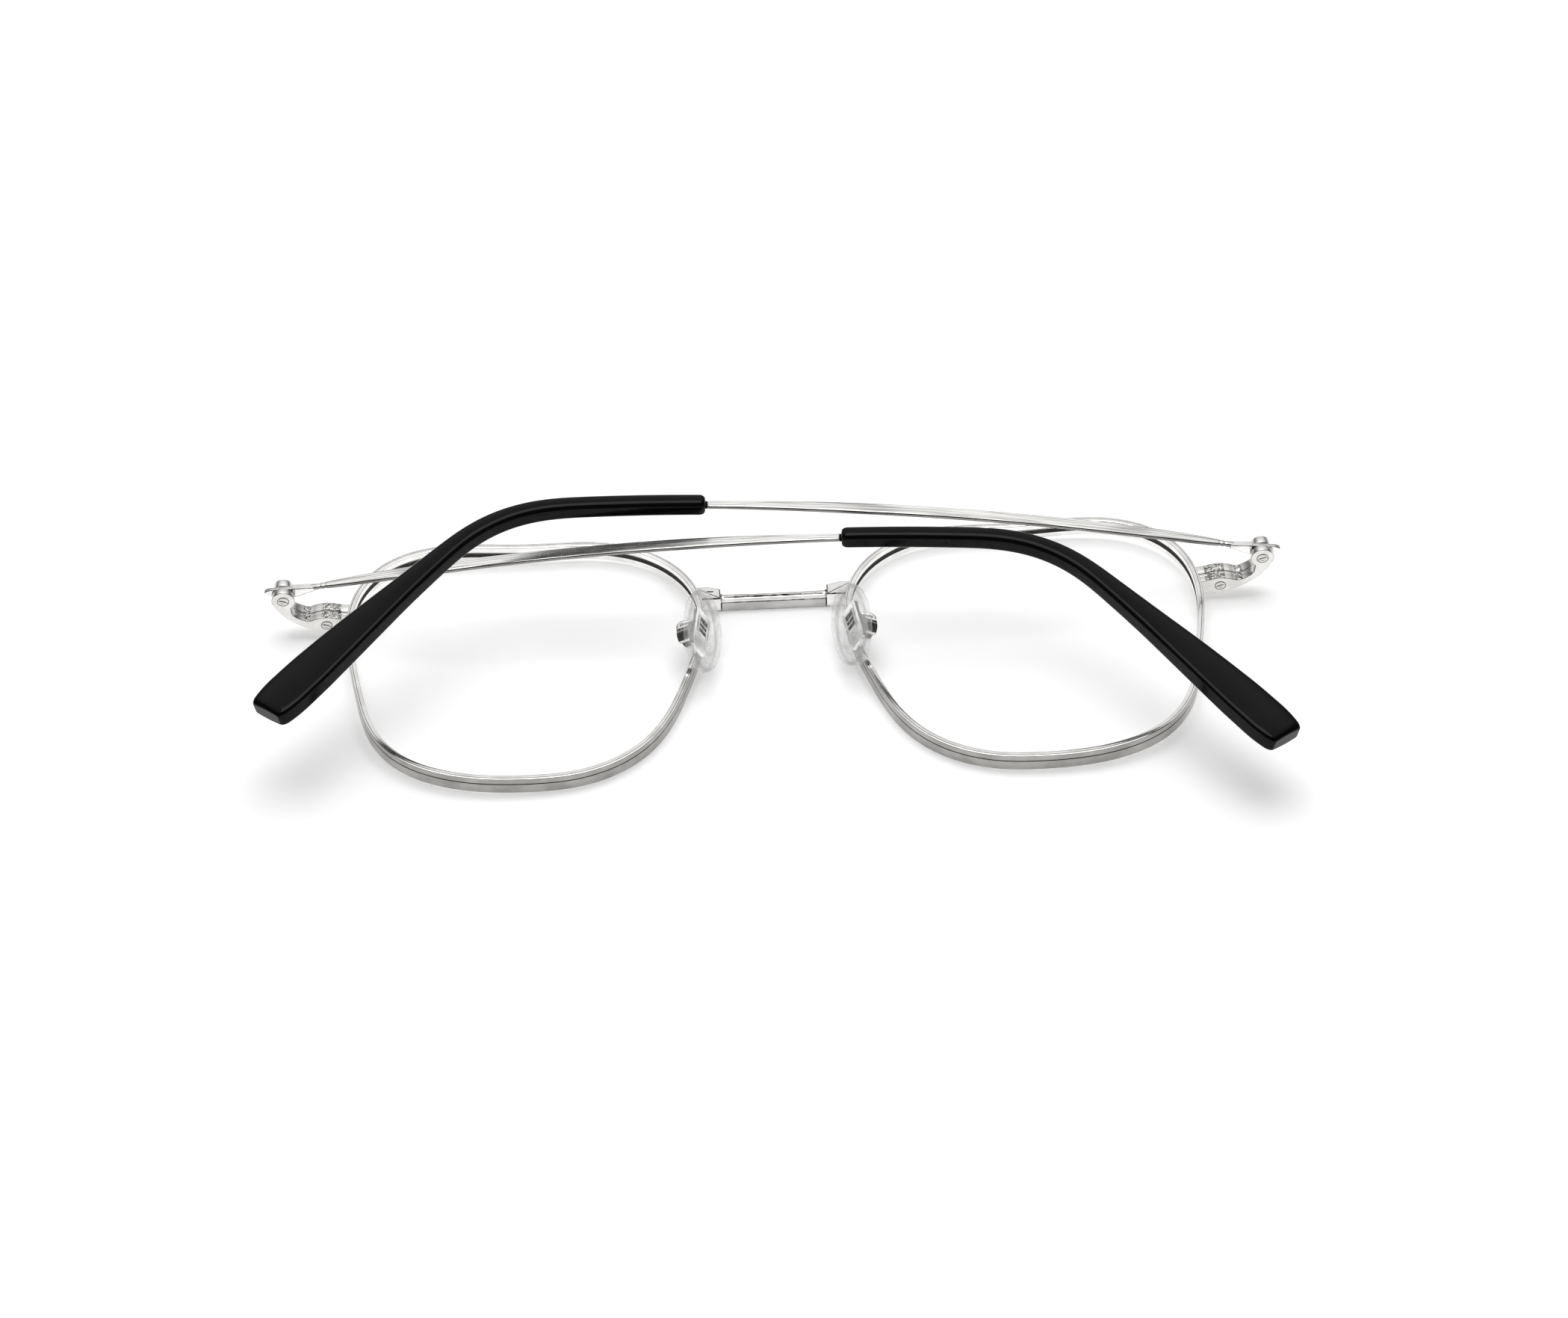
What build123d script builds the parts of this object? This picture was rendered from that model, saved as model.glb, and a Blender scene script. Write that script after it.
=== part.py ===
from build123d import *
from math import atan2, cos, hypot, radians, sin
import os

os.makedirs("parts", exist_ok=True)

# Metal full-rim glasses, folded and lying lens side down, in millimetres.
# Frame: +X is the wearer's right, +Y is up the face towards the brow, +Z is up from the table,
# which is towards the wearer's head. The origin is the middle of the bridge's flat front face.

# Clearances between pieces
seat_gap = 0.02
running_gap = 0.03
sweep_gap = 0.08
cut_overrun = 1.0
tool_reach = 20.0

# Rims: one wire each, its front following the lens curve
rim_width = 49.1
rim_height = 45.0
rim_gap = 19.1
rim_centre_y = -11.47
rim_wall = 0.85
rim_depth = 2.55
curve_radius = 400.0
curve_centre_inward = 7.0
curve_centre_below = 6.03
curve_low_z = -0.22
rim_slit = 0.08
outer_groove_depth = 0.1
outer_groove_width = 0.16
outer_groove_place = 1.5
rim_outline_shares = [
    (0.976, 0.000),
    (1.000, 0.293),
    (0.950, 0.599),
    (0.780, 0.852),
    (0.519, 0.981),
    (0.000, 0.993),
    (-0.511, 0.967),
    (-0.766, 0.836),
    (-0.945, 0.596),
    (-1.000, 0.292),
    (-0.954, 0.000),
    (-0.878, -0.257),
    (-0.790, -0.498),
    (-0.658, -0.719),
    (-0.468, -0.885),
    (-0.240, -0.976),
    (0.000, -1.000),
    (0.493, -0.932),
    (0.723, -0.789),
    (0.872, -0.549),
    (0.937, -0.274),
]

# Lenses: a curved sheet with a bevel round its edge that sits in the rim's groove
lens_thickness = 1.7
lens_recess = 0.42
bevel_width = 0.5
bevel_height = 0.35

# Bridge: a bar with a faceted block at each end
bridge_block_length = 2.25
bridge_bar_height = 1.56
bridge_bar_depth = 1.6
bridge_waist = 0.12
bridge_edge_break = 0.15
block_depth = 2.4
block_front_z = 0.15
block_top_rise = 0.75
block_shoulder_reach = 1.7
block_shoulder_rise = 0.25
block_foot_drop = 0.1
block_inner_reach = 3.9
block_edge_break = 0.2

# Endpieces: two halves, one over the other, that curve back to the hinge
endpiece_height = 3.05
endpiece_centre_y = -1.275
endpiece_proud = 0.356
endpiece_depth = 2.5
endpiece_edge_break = 0.12
half_gap = 0.04
front_outline_shares = [
    (-0.080, -0.005),
    (0.020, 0.000),
    (0.320, 0.070),
    (0.620, 0.190),
    (0.830, 0.350),
    (1.000, 0.545),
    (1.130, 0.790),
]
rear_outline_shares = [
    (0.890, 0.374),
    (0.867, 0.215),
    (0.750, 0.072),
    (0.610, 0.006),
    (0.467, 0.056),
    (0.310, 0.083),
    (0.000, 0.000),
    (-0.080, -0.005),
]

# Hinges: a lower and an upper knuckle with the temple's tongue between them
hinge_reach = 8.25
hinge_rise = 6.42
hinge_lean = 1.4
lower_knuckle_radius = 1.58
upper_knuckle_radius = 1.34
knuckle_dome = 0.55
lower_knuckle_height = 1.0
tongue_thickness = 0.6
tongue_radius = 1.4
washer_thickness = 0.06
washer_radius = 1.25
pocket_inner_reach = 0.6

# Screws
hinge_shank_radius = 0.5
hinge_screw_head_radius = 0.76
closing_screw_reach = 2.65
closing_screw_rise = 1.64
closing_shank_radius = 0.45
closing_screw_head_radius = 0.72
screw_head_thickness = 0.35
screw_head_sink = 0.06
screw_slot_width = 0.22
screw_slot_depth = 0.18
screw_end_cover = 0.55

# Temple heads: tongue, block and shoulder, in (along the temple, outward) from the hinge axis
right_temple_lead = 2.4
left_temple_lead = 1.0
head_height = 0.97
tail_reach = 2.55
tail_outline_shares = [
    (0.000, 0.510),
    (-0.690, 0.450),
    (-0.900, 0.373),
    (-1.000, 0.294),
    (-0.700, -0.008),
]
head_reach = 4.4
head_outline_shares = [
    (0.340, -0.068),
    (0.600, 0.000),
    (0.722, 0.086),
    (0.910, 0.159),
    (1.000, 0.170),
    (1.000, 0.305),
    (0.340, 0.295),
]

# Temples: a flat strip bowed outwards, then a round core wire inside the tip
strip_start_u = 2.6
strip_start_v = 0.78
strip_start_turn = 11.5
strip_length = 74.2
left_strip_droop = 1.5
strip_thickness = 0.6
strip_height = 1.85
strip_head_height = 0.76
strip_seat_length = 2.0
strip_corner = 0.12
strip_station_shares = [0.067, 0.095, 0.122, 0.150, 0.180, 0.400, 0.600, 0.750, 0.880, 1.000]
strip_height_shares = [0.660, 0.768, 0.838, 0.919, 0.973, 1.000, 1.000, 0.946, 0.784, 0.622]
line_steps = 160
core_radius = 0.6
core_start_back = 1.0
core_end_cover = 9.0

# Tips: black acetate, bowed inwards and bent down behind the ear, broadest near the end
tip_length = 72.2
tip_inward_radius = 274.0
ear_bend_start = 16.3
ear_bend_length = 22.4
ear_bend_turn = 47.4
tip_width = 6.63
tip_thickness = 2.93
tip_bore_gap = 0.05
tip_corner_share = 0.376
tip_size_shares = [
    (0.000, 0.354, 0.860),
    (0.030, 0.356, 0.861),
    (0.120, 0.362, 0.867),
    (0.300, 0.376, 0.881),
    (0.420, 0.400, 0.893),
    (0.500, 0.431, 0.902),
    (0.580, 0.510, 0.915),
    (0.650, 0.607, 0.928),
    (0.720, 0.733, 0.945),
    (0.780, 0.837, 0.959),
    (0.830, 0.912, 0.972),
    (0.880, 0.979, 0.986),
    (0.920, 0.998, 0.996),
    (0.950, 1.000, 1.000),
    (0.980, 0.935, 0.980),
    (1.000, 0.837, 0.940),
]

# Nose pads: a clear oval with a metal plate inside, on a lug held by a screw across a round cup
pad_inward = 0.11
pad_below = 3.6
pad_behind = 3.69
pad_length = 14.4
pad_width = 8.6
pad_thickness = 2.0
pad_edge_round = 0.75
pad_top_lean = 8.0
pad_splay = 30.0
plate_length = 7.0
plate_width = 3.4
plate_thickness = 0.5
plate_corner = 0.5
plate_cover = 0.35
lug_thickness = 0.8
lug_radius = 0.62
lug_gap = 0.04
cup_radius = 1.6
cup_depth = 1.75
cup_slot_depth = 1.4
cup_clearance = 0.4
pad_screw_radius = 0.3
pad_screw_length = 2.9
pad_wire_radius = 0.4
pad_wire_sink = 0.25
pad_wire_bend = 0.9
pad_wire_foot_share = 0.4975
pad_wire_rise = 2.09
pad_wire_rise_outward = 0.79
pad_wire_reach_outward = 3.29
pad_wire_reach_down = 0.6
pad_wire_reach_back = 2.19

# Values worked out from the sizes above
rim_centre_x = (rim_gap + rim_width) / 2
rim_outer_x = rim_gap / 2 + rim_width
curve_centre_x = rim_centre_x - curve_centre_inward
curve_centre_y = rim_centre_y - curve_centre_below
rim_rear_radius = curve_radius - rim_depth
curve_centre = (curve_centre_x, curve_centre_y, curve_low_z + curve_radius)
bridge_bar_half = rim_gap / 2 - bridge_block_length
endpiece_bottom_y = endpiece_centre_y - endpiece_height / 2
endpiece_top_y = endpiece_centre_y + endpiece_height / 2
lower_knuckle_top = lower_knuckle_height - endpiece_height / 2
tongue_bottom = lower_knuckle_top + washer_thickness + seat_gap
tongue_top = tongue_bottom + tongue_thickness
upper_knuckle_bottom = tongue_top + seat_gap + washer_thickness
lean = radians(hinge_lean)


def curve_height(x, y):
    """Height of the rims' front surface over the table at a place."""
    reach = hypot(x - curve_centre_x, y - curve_centre_y)
    return curve_low_z + curve_radius - (curve_radius**2 - reach**2) ** 0.5


endpiece_front_z = curve_height(rim_outer_x, endpiece_centre_y) - endpiece_proud
hinge_x = rim_outer_x + hinge_reach
hinge_z = endpiece_front_z + hinge_rise
closing_screw_x = rim_outer_x + closing_screw_reach
closing_screw_z = endpiece_front_z + closing_screw_rise


def rim_points(inset):
    """The rim's outer outline, drawn in by an inset."""
    half_width = rim_width / 2
    half_height = rim_height / 2
    points = []
    for across, up in rim_outline_shares:
        # the normal of an oval of the rim's width and height is near enough to the outline's own
        angle = atan2(up * half_height, across * half_width)
        x = across * half_width - inset * cos(angle)
        y = up * half_height - inset * sin(angle)
        points.append((rim_centre_x + x, rim_centre_y + y))
    return points


def hinge_frame(hand):
    """Plane square to a hinge's axis, through the middle of the endpiece. Both axes lean alike."""
    centre = (hand * hinge_x, endpiece_centre_y, hinge_z)
    return Plane(origin=centre, x_dir=(cos(lean), -sin(lean), 0), z_dir=(sin(lean), cos(lean), 0))


def temple_frame(hand):
    """Plane of a folded temple: x along it, y outwards from the wearer's head, z along the hinge."""
    lead = radians(right_temple_lead if hand > 0 else left_temple_lead)
    along = (-hand * cos(lean) * cos(lead), hand * sin(lean) * cos(lead), sin(lead))
    return Plane(
        origin=(hand * hinge_x, endpiece_centre_y, hinge_z),
        x_dir=along,
        z_dir=(hand * sin(lean), hand * cos(lean), 0),
    )


def wire_state(hand, run):
    """Turn outwards and drop of a temple's line at a distance along it. The left one sits lower."""
    if run < strip_length:
        turn = radians(strip_start_turn) * (1 - run / strip_length)
    else:
        turn = -(run - strip_length) / tip_inward_radius
    share = min(max((run - strip_length - ear_bend_start) / ear_bend_length, 0), 1)
    drop = radians(ear_bend_turn) * share**2 * (3 - 2 * share)
    droop = 0 if hand > 0 else radians(left_strip_droop)
    return turn, drop + droop


def wire_station(hand, run):
    """Plane across the temple's line at a distance along it: x outwards, y up the temple's side."""
    frame = temple_frame(hand)
    head_middle = tongue_bottom + head_height / 2
    place = frame.origin + frame.x_dir * strip_start_u + frame.y_dir * strip_start_v
    place = place + frame.z_dir * (hand * head_middle)
    for index in range(line_steps + 1):
        middle = run * min((index + 0.5) / line_steps, 1)
        turn, drop = wire_state(hand, middle)
        along = frame.x_dir * (cos(drop) * cos(turn)) + frame.y_dir * (cos(drop) * sin(turn))
        along = along - frame.z_dir * (hand * sin(drop))
        if index < line_steps:
            place = place + along * (run / line_steps)
    side = frame.y_dir * cos(turn) - frame.x_dir * sin(turn)
    return Plane(origin=place, x_dir=side, z_dir=along)


# Rims
with BuildPart() as rim_form:
    with BuildSketch() as rim_sketch:
        with BuildLine():
            Spline(*rim_points(0), periodic=True)
        make_face()
        with BuildLine():
            Spline(*rim_points(rim_wall), periodic=True)
        make_face(mode=Mode.SUBTRACT)
    extrude(amount=tool_reach, both=True)
    with Locations(curve_centre):
        Sphere(curve_radius, rotation=(90, 0, 0), mode=Mode.INTERSECT)
        Sphere(rim_rear_radius, rotation=(90, 0, 0), mode=Mode.SUBTRACT)

# Tool that stands in for everything inside a rim's outer line
with BuildPart() as rim_core_tool:
    with BuildSketch():
        with BuildLine():
            Spline(*rim_points(-seat_gap), periodic=True)
        make_face()
    extrude(amount=tool_reach, both=True)

# Tool that cuts the lens groove: a thin curved sheet, larger than the rim's inside by the bevel
groove_front_radius = curve_radius - lens_recess - (lens_thickness - bevel_width) / 2
with BuildPart() as groove_tool:
    with BuildSketch():
        with BuildLine():
            Spline(*rim_points(rim_wall - bevel_height), periodic=True)
        make_face()
    extrude(amount=tool_reach, both=True)
    with Locations(curve_centre):
        Sphere(groove_front_radius + seat_gap, rotation=(90, 0, 0), mode=Mode.INTERSECT)
        Sphere(groove_front_radius - bevel_width - seat_gap, rotation=(90, 0, 0), mode=Mode.SUBTRACT)

# Tool that cuts the fine line round the rim's outside
with BuildPart() as line_tool:
    with BuildSketch():
        with BuildLine():
            Spline(*rim_points(-cut_overrun), periodic=True)
        make_face()
        with BuildLine():
            Spline(*rim_points(outer_groove_depth), periodic=True)
        make_face(mode=Mode.SUBTRACT)
    extrude(amount=tool_reach, both=True)
    with Locations(curve_centre):
        Sphere(curve_radius - outer_groove_place, rotation=(90, 0, 0), mode=Mode.INTERSECT)
        Sphere(
            curve_radius - outer_groove_place - outer_groove_width,
            rotation=(90, 0, 0),
            mode=Mode.SUBTRACT,
        )

with BuildPart() as rim_model:
    add(rim_form.part)
    add(groove_tool.part, mode=Mode.SUBTRACT)
    add(line_tool.part, mode=Mode.SUBTRACT)
    with Locations((rim_outer_x, endpiece_centre_y, endpiece_front_z)):
        Box(rim_wall * 4, rim_slit, tool_reach, mode=Mode.SUBTRACT)

for side, hand in (("right", 1), ("left", -1)):
    with BuildPart() as rim:
        if hand > 0:
            add(rim_model.part)
        else:
            mirror(rim_model.part, about=Plane.YZ)
    rim.part.label = f"{side}_rim"
    export_step(rim.part, f"parts/{side}_rim.step")

# Lenses
with BuildPart() as bevel_form:
    with BuildSketch():
        with BuildLine():
            Spline(*rim_points(rim_wall - bevel_height + seat_gap), periodic=True)
        make_face()
    extrude(amount=tool_reach, both=True)
    with Locations(curve_centre):
        Sphere(groove_front_radius, rotation=(90, 0, 0), mode=Mode.INTERSECT)
        Sphere(groove_front_radius - bevel_width, rotation=(90, 0, 0), mode=Mode.SUBTRACT)
with BuildPart() as lens_model:
    with BuildSketch():
        with BuildLine():
            Spline(*rim_points(rim_wall + seat_gap), periodic=True)
        make_face()
    extrude(amount=tool_reach, both=True)
    with Locations(curve_centre):
        Sphere(curve_radius - lens_recess, rotation=(90, 0, 0), mode=Mode.INTERSECT)
        Sphere(
            curve_radius - lens_recess - lens_thickness,
            rotation=(90, 0, 0),
            mode=Mode.SUBTRACT,
        )
    add(bevel_form.part)
for side, hand in (("right", 1), ("left", -1)):
    with BuildPart() as lens:
        if hand > 0:
            add(lens_model.part)
        else:
            mirror(lens_model.part, about=Plane.YZ)
    lens.part.label = f"{side}_lens"
    export_step(lens.part, f"parts/{side}_lens.step")

# Bridge
bar_half_height = bridge_bar_height / 2
block_top = bar_half_height + block_top_rise
with BuildPart() as bridge:
    with BuildSketch():
        with BuildLine():
            Polyline(
                (-bridge_bar_half, bar_half_height + bridge_waist),
                (-bridge_bar_half, -bar_half_height),
                (bridge_bar_half, -bar_half_height),
                (bridge_bar_half, bar_half_height + bridge_waist),
            )
            ThreePointArc(
                (bridge_bar_half, bar_half_height + bridge_waist),
                (0, bar_half_height),
                (-bridge_bar_half, bar_half_height + bridge_waist),
            )
        make_face()
    extrude(amount=bridge_bar_depth)
    long_edges = bridge.edges().filter_by_position(
        Axis.Z, bridge_bar_depth, bridge_bar_depth
    ).sort_by(SortBy.LENGTH)[-2:]
    fillet(long_edges, bridge_edge_break)
for hand in (1, -1):
    with BuildPart() as block:
        with BuildSketch(Plane.XY.offset(block_front_z)):
            with BuildLine():
                Polyline(
                    (hand * bridge_bar_half, -bar_half_height - block_foot_drop),
                    (hand * bridge_bar_half, bar_half_height + block_shoulder_rise),
                    (hand * (bridge_bar_half + block_shoulder_reach), block_top),
                    (hand * (bridge_bar_half + block_inner_reach), block_top),
                    (hand * (bridge_bar_half + block_inner_reach), -bar_half_height),
                    close=True,
                )
            make_face()
        extrude(amount=block_depth)
        chamfer(block.faces().sort_by(Axis.Z)[-1].edges(), block_edge_break)
        if hand > 0:
            add(rim_core_tool.part, mode=Mode.SUBTRACT)
        else:
            add(rim_core_tool.part.mirror(Plane.YZ), mode=Mode.SUBTRACT)
    bridge.part = bridge.part + block.part
bridge.part.label = "bridge"
export_step(bridge.part, "parts/bridge.step")


def endpiece_points(shares, lift):
    """An endpiece outline in X and Z, from shares of the reach and the rise to the hinge."""
    return [
        (rim_outer_x + across * hinge_reach, endpiece_front_z + lift + up * hinge_rise)
        for across, up in shares
    ]


def endpiece_form(low_y, high_y, knuckle_radius):
    """One half of the right endpiece, between two heights, with its knuckle."""
    front = endpiece_points(front_outline_shares, 0)
    front.append((hinge_x + knuckle_radius, hinge_z))
    rear = endpiece_points(rear_outline_shares, endpiece_depth)
    with BuildPart() as half:
        with BuildSketch(Plane.XZ.offset(-high_y)):
            with BuildLine():
                Spline(*front)
                Polyline(front[-1], (hinge_x, hinge_z), rear[0])
                Spline(*rear)
                Line(rear[-1], front[0])
            make_face()
            with Locations((hinge_x, hinge_z)):
                Circle(knuckle_radius)
        extrude(amount=high_y - low_y)
        add(rim_core_tool.part, mode=Mode.SUBTRACT)
    return half.part


def bored_half(half, hand, pocket_low, pocket_high):
    """A half with its screw holes and with room for the tongue's sweep between two heights."""
    frame = hinge_frame(hand)
    sweep_radius = hypot(tail_reach, tail_reach * tail_outline_shares[3][1]) + sweep_gap
    with BuildPart() as sweep_room:
        with BuildSketch(frame.offset(pocket_low)):
            Circle(sweep_radius)
            with Locations((-hand * (pocket_inner_reach + sweep_radius), 0)):
                Rectangle(sweep_radius * 2, sweep_radius * 3, mode=Mode.SUBTRACT)
            Circle(max(tongue_radius, lower_knuckle_radius) + sweep_gap)
        extrude(amount=pocket_high - pocket_low)
    with BuildPart() as bored:
        if hand > 0:
            add(half)
        else:
            mirror(half, about=Plane.YZ)
        add(sweep_room.part, mode=Mode.SUBTRACT)
        closing_plane = Plane.XZ.offset(-endpiece_bottom_y)
        with BuildSketch(closing_plane):
            with Locations((hand * closing_screw_x, closing_screw_z)):
                Circle(closing_shank_radius + seat_gap)
        extrude(amount=-(endpiece_height - screw_end_cover), mode=Mode.SUBTRACT)
        with BuildSketch(closing_plane):
            with Locations((hand * closing_screw_x, closing_screw_z)):
                Circle(closing_screw_head_radius + seat_gap)
        extrude(amount=-(screw_head_thickness + screw_head_sink), mode=Mode.SUBTRACT)
        with BuildSketch(frame.offset(-endpiece_height / 2)):
            Circle(hinge_shank_radius + seat_gap)
        extrude(amount=endpiece_height - screw_end_cover, mode=Mode.SUBTRACT)
        with BuildSketch(frame.offset(-endpiece_height / 2)):
            Circle(hinge_screw_head_radius + seat_gap)
        extrude(amount=screw_head_thickness + screw_head_sink, mode=Mode.SUBTRACT)
    return bored.part


# Endpieces
lower_form = endpiece_form(endpiece_bottom_y, endpiece_centre_y - half_gap / 2, lower_knuckle_radius)
upper_form = endpiece_form(endpiece_centre_y + half_gap / 2, endpiece_top_y, upper_knuckle_radius)
for side, hand in (("right", 1), ("left", -1)):
    with BuildPart() as endpiece_lower:
        add(bored_half(lower_form, hand, lower_knuckle_top, endpiece_height))
        outer_edges = endpiece_lower.faces().sort_by(Axis.Y)[0].outer_wire().edges()
        chamfer(outer_edges.sort_by(SortBy.LENGTH)[-1:], endpiece_edge_break)
    endpiece_lower.part.label = f"{side}_endpiece_lower"
    export_step(endpiece_lower.part, f"parts/{side}_endpiece_lower.step")
    with BuildPart() as endpiece_upper:
        add(bored_half(upper_form, hand, -endpiece_height, upper_knuckle_bottom))
        top_face = endpiece_upper.faces().sort_by(Axis.Y)[-1]
        knuckle_edges = top_face.edges().filter_by(GeomType.CIRCLE)
        fillet(knuckle_edges, knuckle_dome)
    endpiece_upper.part.label = f"{side}_endpiece_upper"
    export_step(endpiece_upper.part, f"parts/{side}_endpiece_upper.step")


def slotted_screw(seat, head_radius, shank_radius, length, up):
    """A slotted screw whose head lies just inside a plane, with its shank going up from it."""
    with BuildPart() as screw:
        with BuildSketch(seat.offset(up * screw_head_sink)):
            Circle(head_radius)
        extrude(amount=up * screw_head_thickness)
        with BuildSketch(seat.offset(up * screw_head_sink)):
            Circle(shank_radius)
        extrude(amount=up * length)
        with BuildSketch(seat.offset(up * screw_head_sink)):
            Rectangle(head_radius * 3, screw_slot_width)
        extrude(amount=up * screw_slot_depth, mode=Mode.SUBTRACT)
    return screw.part


# Screws and hinge washers
screw_length = endpiece_height - screw_end_cover - screw_head_sink - seat_gap
for side, hand in (("right", 1), ("left", -1)):
    hinge_seat = hinge_frame(hand).offset(-endpiece_height / 2)
    with BuildPart() as hinge_screw:
        add(slotted_screw(hinge_seat, hinge_screw_head_radius, hinge_shank_radius, screw_length, 1))
    hinge_screw.part.label = f"{side}_hinge_screw"
    export_step(hinge_screw.part, f"parts/{side}_hinge_screw.step")

    closing_seat = Plane(
        origin=(hand * closing_screw_x, endpiece_bottom_y, closing_screw_z),
        x_dir=(1, 0, 0),
        z_dir=(0, 1, 0),
    )
    with BuildPart() as closing_screw:
        add(
            slotted_screw(
                closing_seat, closing_screw_head_radius, closing_shank_radius, screw_length, 1
            )
        )
    closing_screw.part.label = f"{side}_closing_screw"
    export_step(closing_screw.part, f"parts/{side}_closing_screw.step")

    with BuildPart() as hinge_washers:
        for height in (lower_knuckle_top, upper_knuckle_bottom - washer_thickness):
            with BuildSketch(hinge_frame(hand).offset(height)):
                Circle(washer_radius)
                Circle(hinge_shank_radius + running_gap, mode=Mode.SUBTRACT)
            extrude(amount=washer_thickness)
    hinge_washers.part.label = f"{side}_hinge_washers"
    export_step(hinge_washers.part, f"parts/{side}_hinge_washers.step")


def strip_form(hand, extra):
    """The flat strip of a temple, from the head to the tip, fattened by an extra."""
    with BuildPart() as strip:
        for run in (0, strip_seat_length):
            with BuildSketch(wire_station(hand, run)):
                RectangleRounded(
                    strip_thickness + extra * 2, strip_head_height + extra * 2, strip_corner
                )
        loft()
        stations = [(strip_seat_length, strip_head_height)]
        for along_share, height_share in zip(strip_station_shares, strip_height_shares):
            stations.append((along_share * strip_length, height_share * strip_height))
        for run, height in stations:
            with BuildSketch(wire_station(hand, run)):
                RectangleRounded(strip_thickness + extra * 2, height + extra * 2, strip_corner)
        loft()
    return strip.part


def wire_form(hand, radius, runs):
    """A round wire through stations of the temple's line."""
    with BuildPart() as wire:
        for run in runs:
            with BuildSketch(wire_station(hand, run)):
                Circle(radius)
        loft()
    return wire.part


# Temples
core_end = strip_length + tip_length - core_end_cover
core_runs = [strip_length - core_start_back]
for along_share, _, _ in tip_size_shares[1:]:
    run = strip_length + along_share * tip_length
    if run < core_end - core_radius:
        core_runs.append(run)
core_runs.append(core_end)
for side, hand in (("right", 1), ("left", -1)):
    frame = temple_frame(hand)

    with BuildPart() as temple:
        add(strip_form(hand, 0))
        add(wire_form(hand, core_radius, core_runs))
    temple.part.label = f"{side}_temple"
    export_step(temple.part, f"parts/{side}_temple.step")

    tongue_base = frame.offset(hand * tongue_bottom)
    with BuildPart() as temple_head:
        with BuildSketch(tongue_base):
            with BuildLine():
                tail = [(along * tail_reach, out * tail_reach) for along, out in tail_outline_shares]
                Polyline(*tail, (0, 0), close=True)
            make_face()
            Circle(tongue_radius)
            with BuildLine():
                joint = [(0, 0), (0, tail[0][1]), (head_outline_shares[-1][0] * head_reach, tail[0][1])]
                joint.append((head_outline_shares[0][0] * head_reach, 0))
                Polyline(*joint, close=True)
            make_face()
        extrude(amount=hand * tongue_thickness)
        with BuildSketch(tongue_base):
            with BuildLine():
                head = [(along * head_reach, out * head_reach) for along, out in head_outline_shares]
                Polyline(*head, close=True)
            make_face()
        extrude(amount=hand * head_height)
        with BuildSketch(tongue_base):
            Circle(hinge_shank_radius + running_gap)
        extrude(amount=hand * tongue_thickness, mode=Mode.SUBTRACT)
        add(strip_form(hand, seat_gap), mode=Mode.SUBTRACT)
    temple_head.part.label = f"{side}_temple_head"
    export_step(temple_head.part, f"parts/{side}_temple_head.step")

    with BuildPart() as temple_tip:
        for along_share, width_share, thick_share in tip_size_shares:
            thick = tip_thickness * thick_share
            width = tip_width * width_share
            with BuildSketch(wire_station(hand, strip_length + along_share * tip_length)):
                # a narrow section's corners are limited by its smaller side
                RectangleRounded(thick, width, min(thick, width) * tip_corner_share)
        loft()
        add(wire_form(hand, core_radius + tip_bore_gap, core_runs), mode=Mode.SUBTRACT)
    temple_tip.part.label = f"{side}_temple_tip"
    export_step(temple_tip.part, f"parts/{side}_temple_tip.step")


# Nose pads, built on the right and mirrored to the left
long_way = Vector(-sin(radians(pad_top_lean)), cos(radians(pad_top_lean)), 0)
rear_way = Vector(sin(radians(pad_splay)), 0, cos(radians(pad_splay)))
back_way = long_way.cross(rear_way).normalized()
rim_wire_line = Spline(*rim_points(rim_wall / 2), periodic=True)
foot = rim_wire_line @ pad_wire_foot_share
foot = Vector(foot.X, foot.Y, curve_height(foot.X, foot.Y) + rim_depth)
pad_centre = foot + Vector(-pad_inward, -pad_below, pad_behind)
pad_frame = Plane(origin=pad_centre, x_dir=long_way, z_dir=back_way)
rock_distance = pad_thickness / 2 + cup_clearance + cup_slot_depth / 2
rock_point = pad_centre + back_way * rock_distance
rock_frame = Plane(origin=rock_point, x_dir=long_way, z_dir=rear_way)

with BuildPart() as plate_model:
    with BuildSketch(pad_frame.offset(pad_thickness / 2 - plate_cover - plate_thickness)):
        RectangleRounded(plate_length, plate_width, plate_corner)
    extrude(amount=plate_thickness)
    with BuildSketch(rock_frame.offset(-lug_thickness / 2)):
        Circle(lug_radius)
        with Locations((0, rock_distance / 2)):
            Rectangle(lug_radius * 2, rock_distance - pad_thickness / 2 + plate_cover * 2)
    extrude(amount=lug_thickness)
    with BuildSketch(rock_frame.offset(-lug_thickness)):
        Circle(pad_screw_radius + running_gap)
    extrude(amount=lug_thickness * 2, mode=Mode.SUBTRACT)

with BuildPart() as pad_model:
    with BuildSketch(pad_frame.offset(-pad_thickness / 2)):
        Ellipse(pad_length / 2, pad_width / 2)
    extrude(amount=pad_thickness)
    fillet(pad_model.edges(), pad_edge_round)
    add(plate_model.part, mode=Mode.SUBTRACT)

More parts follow.
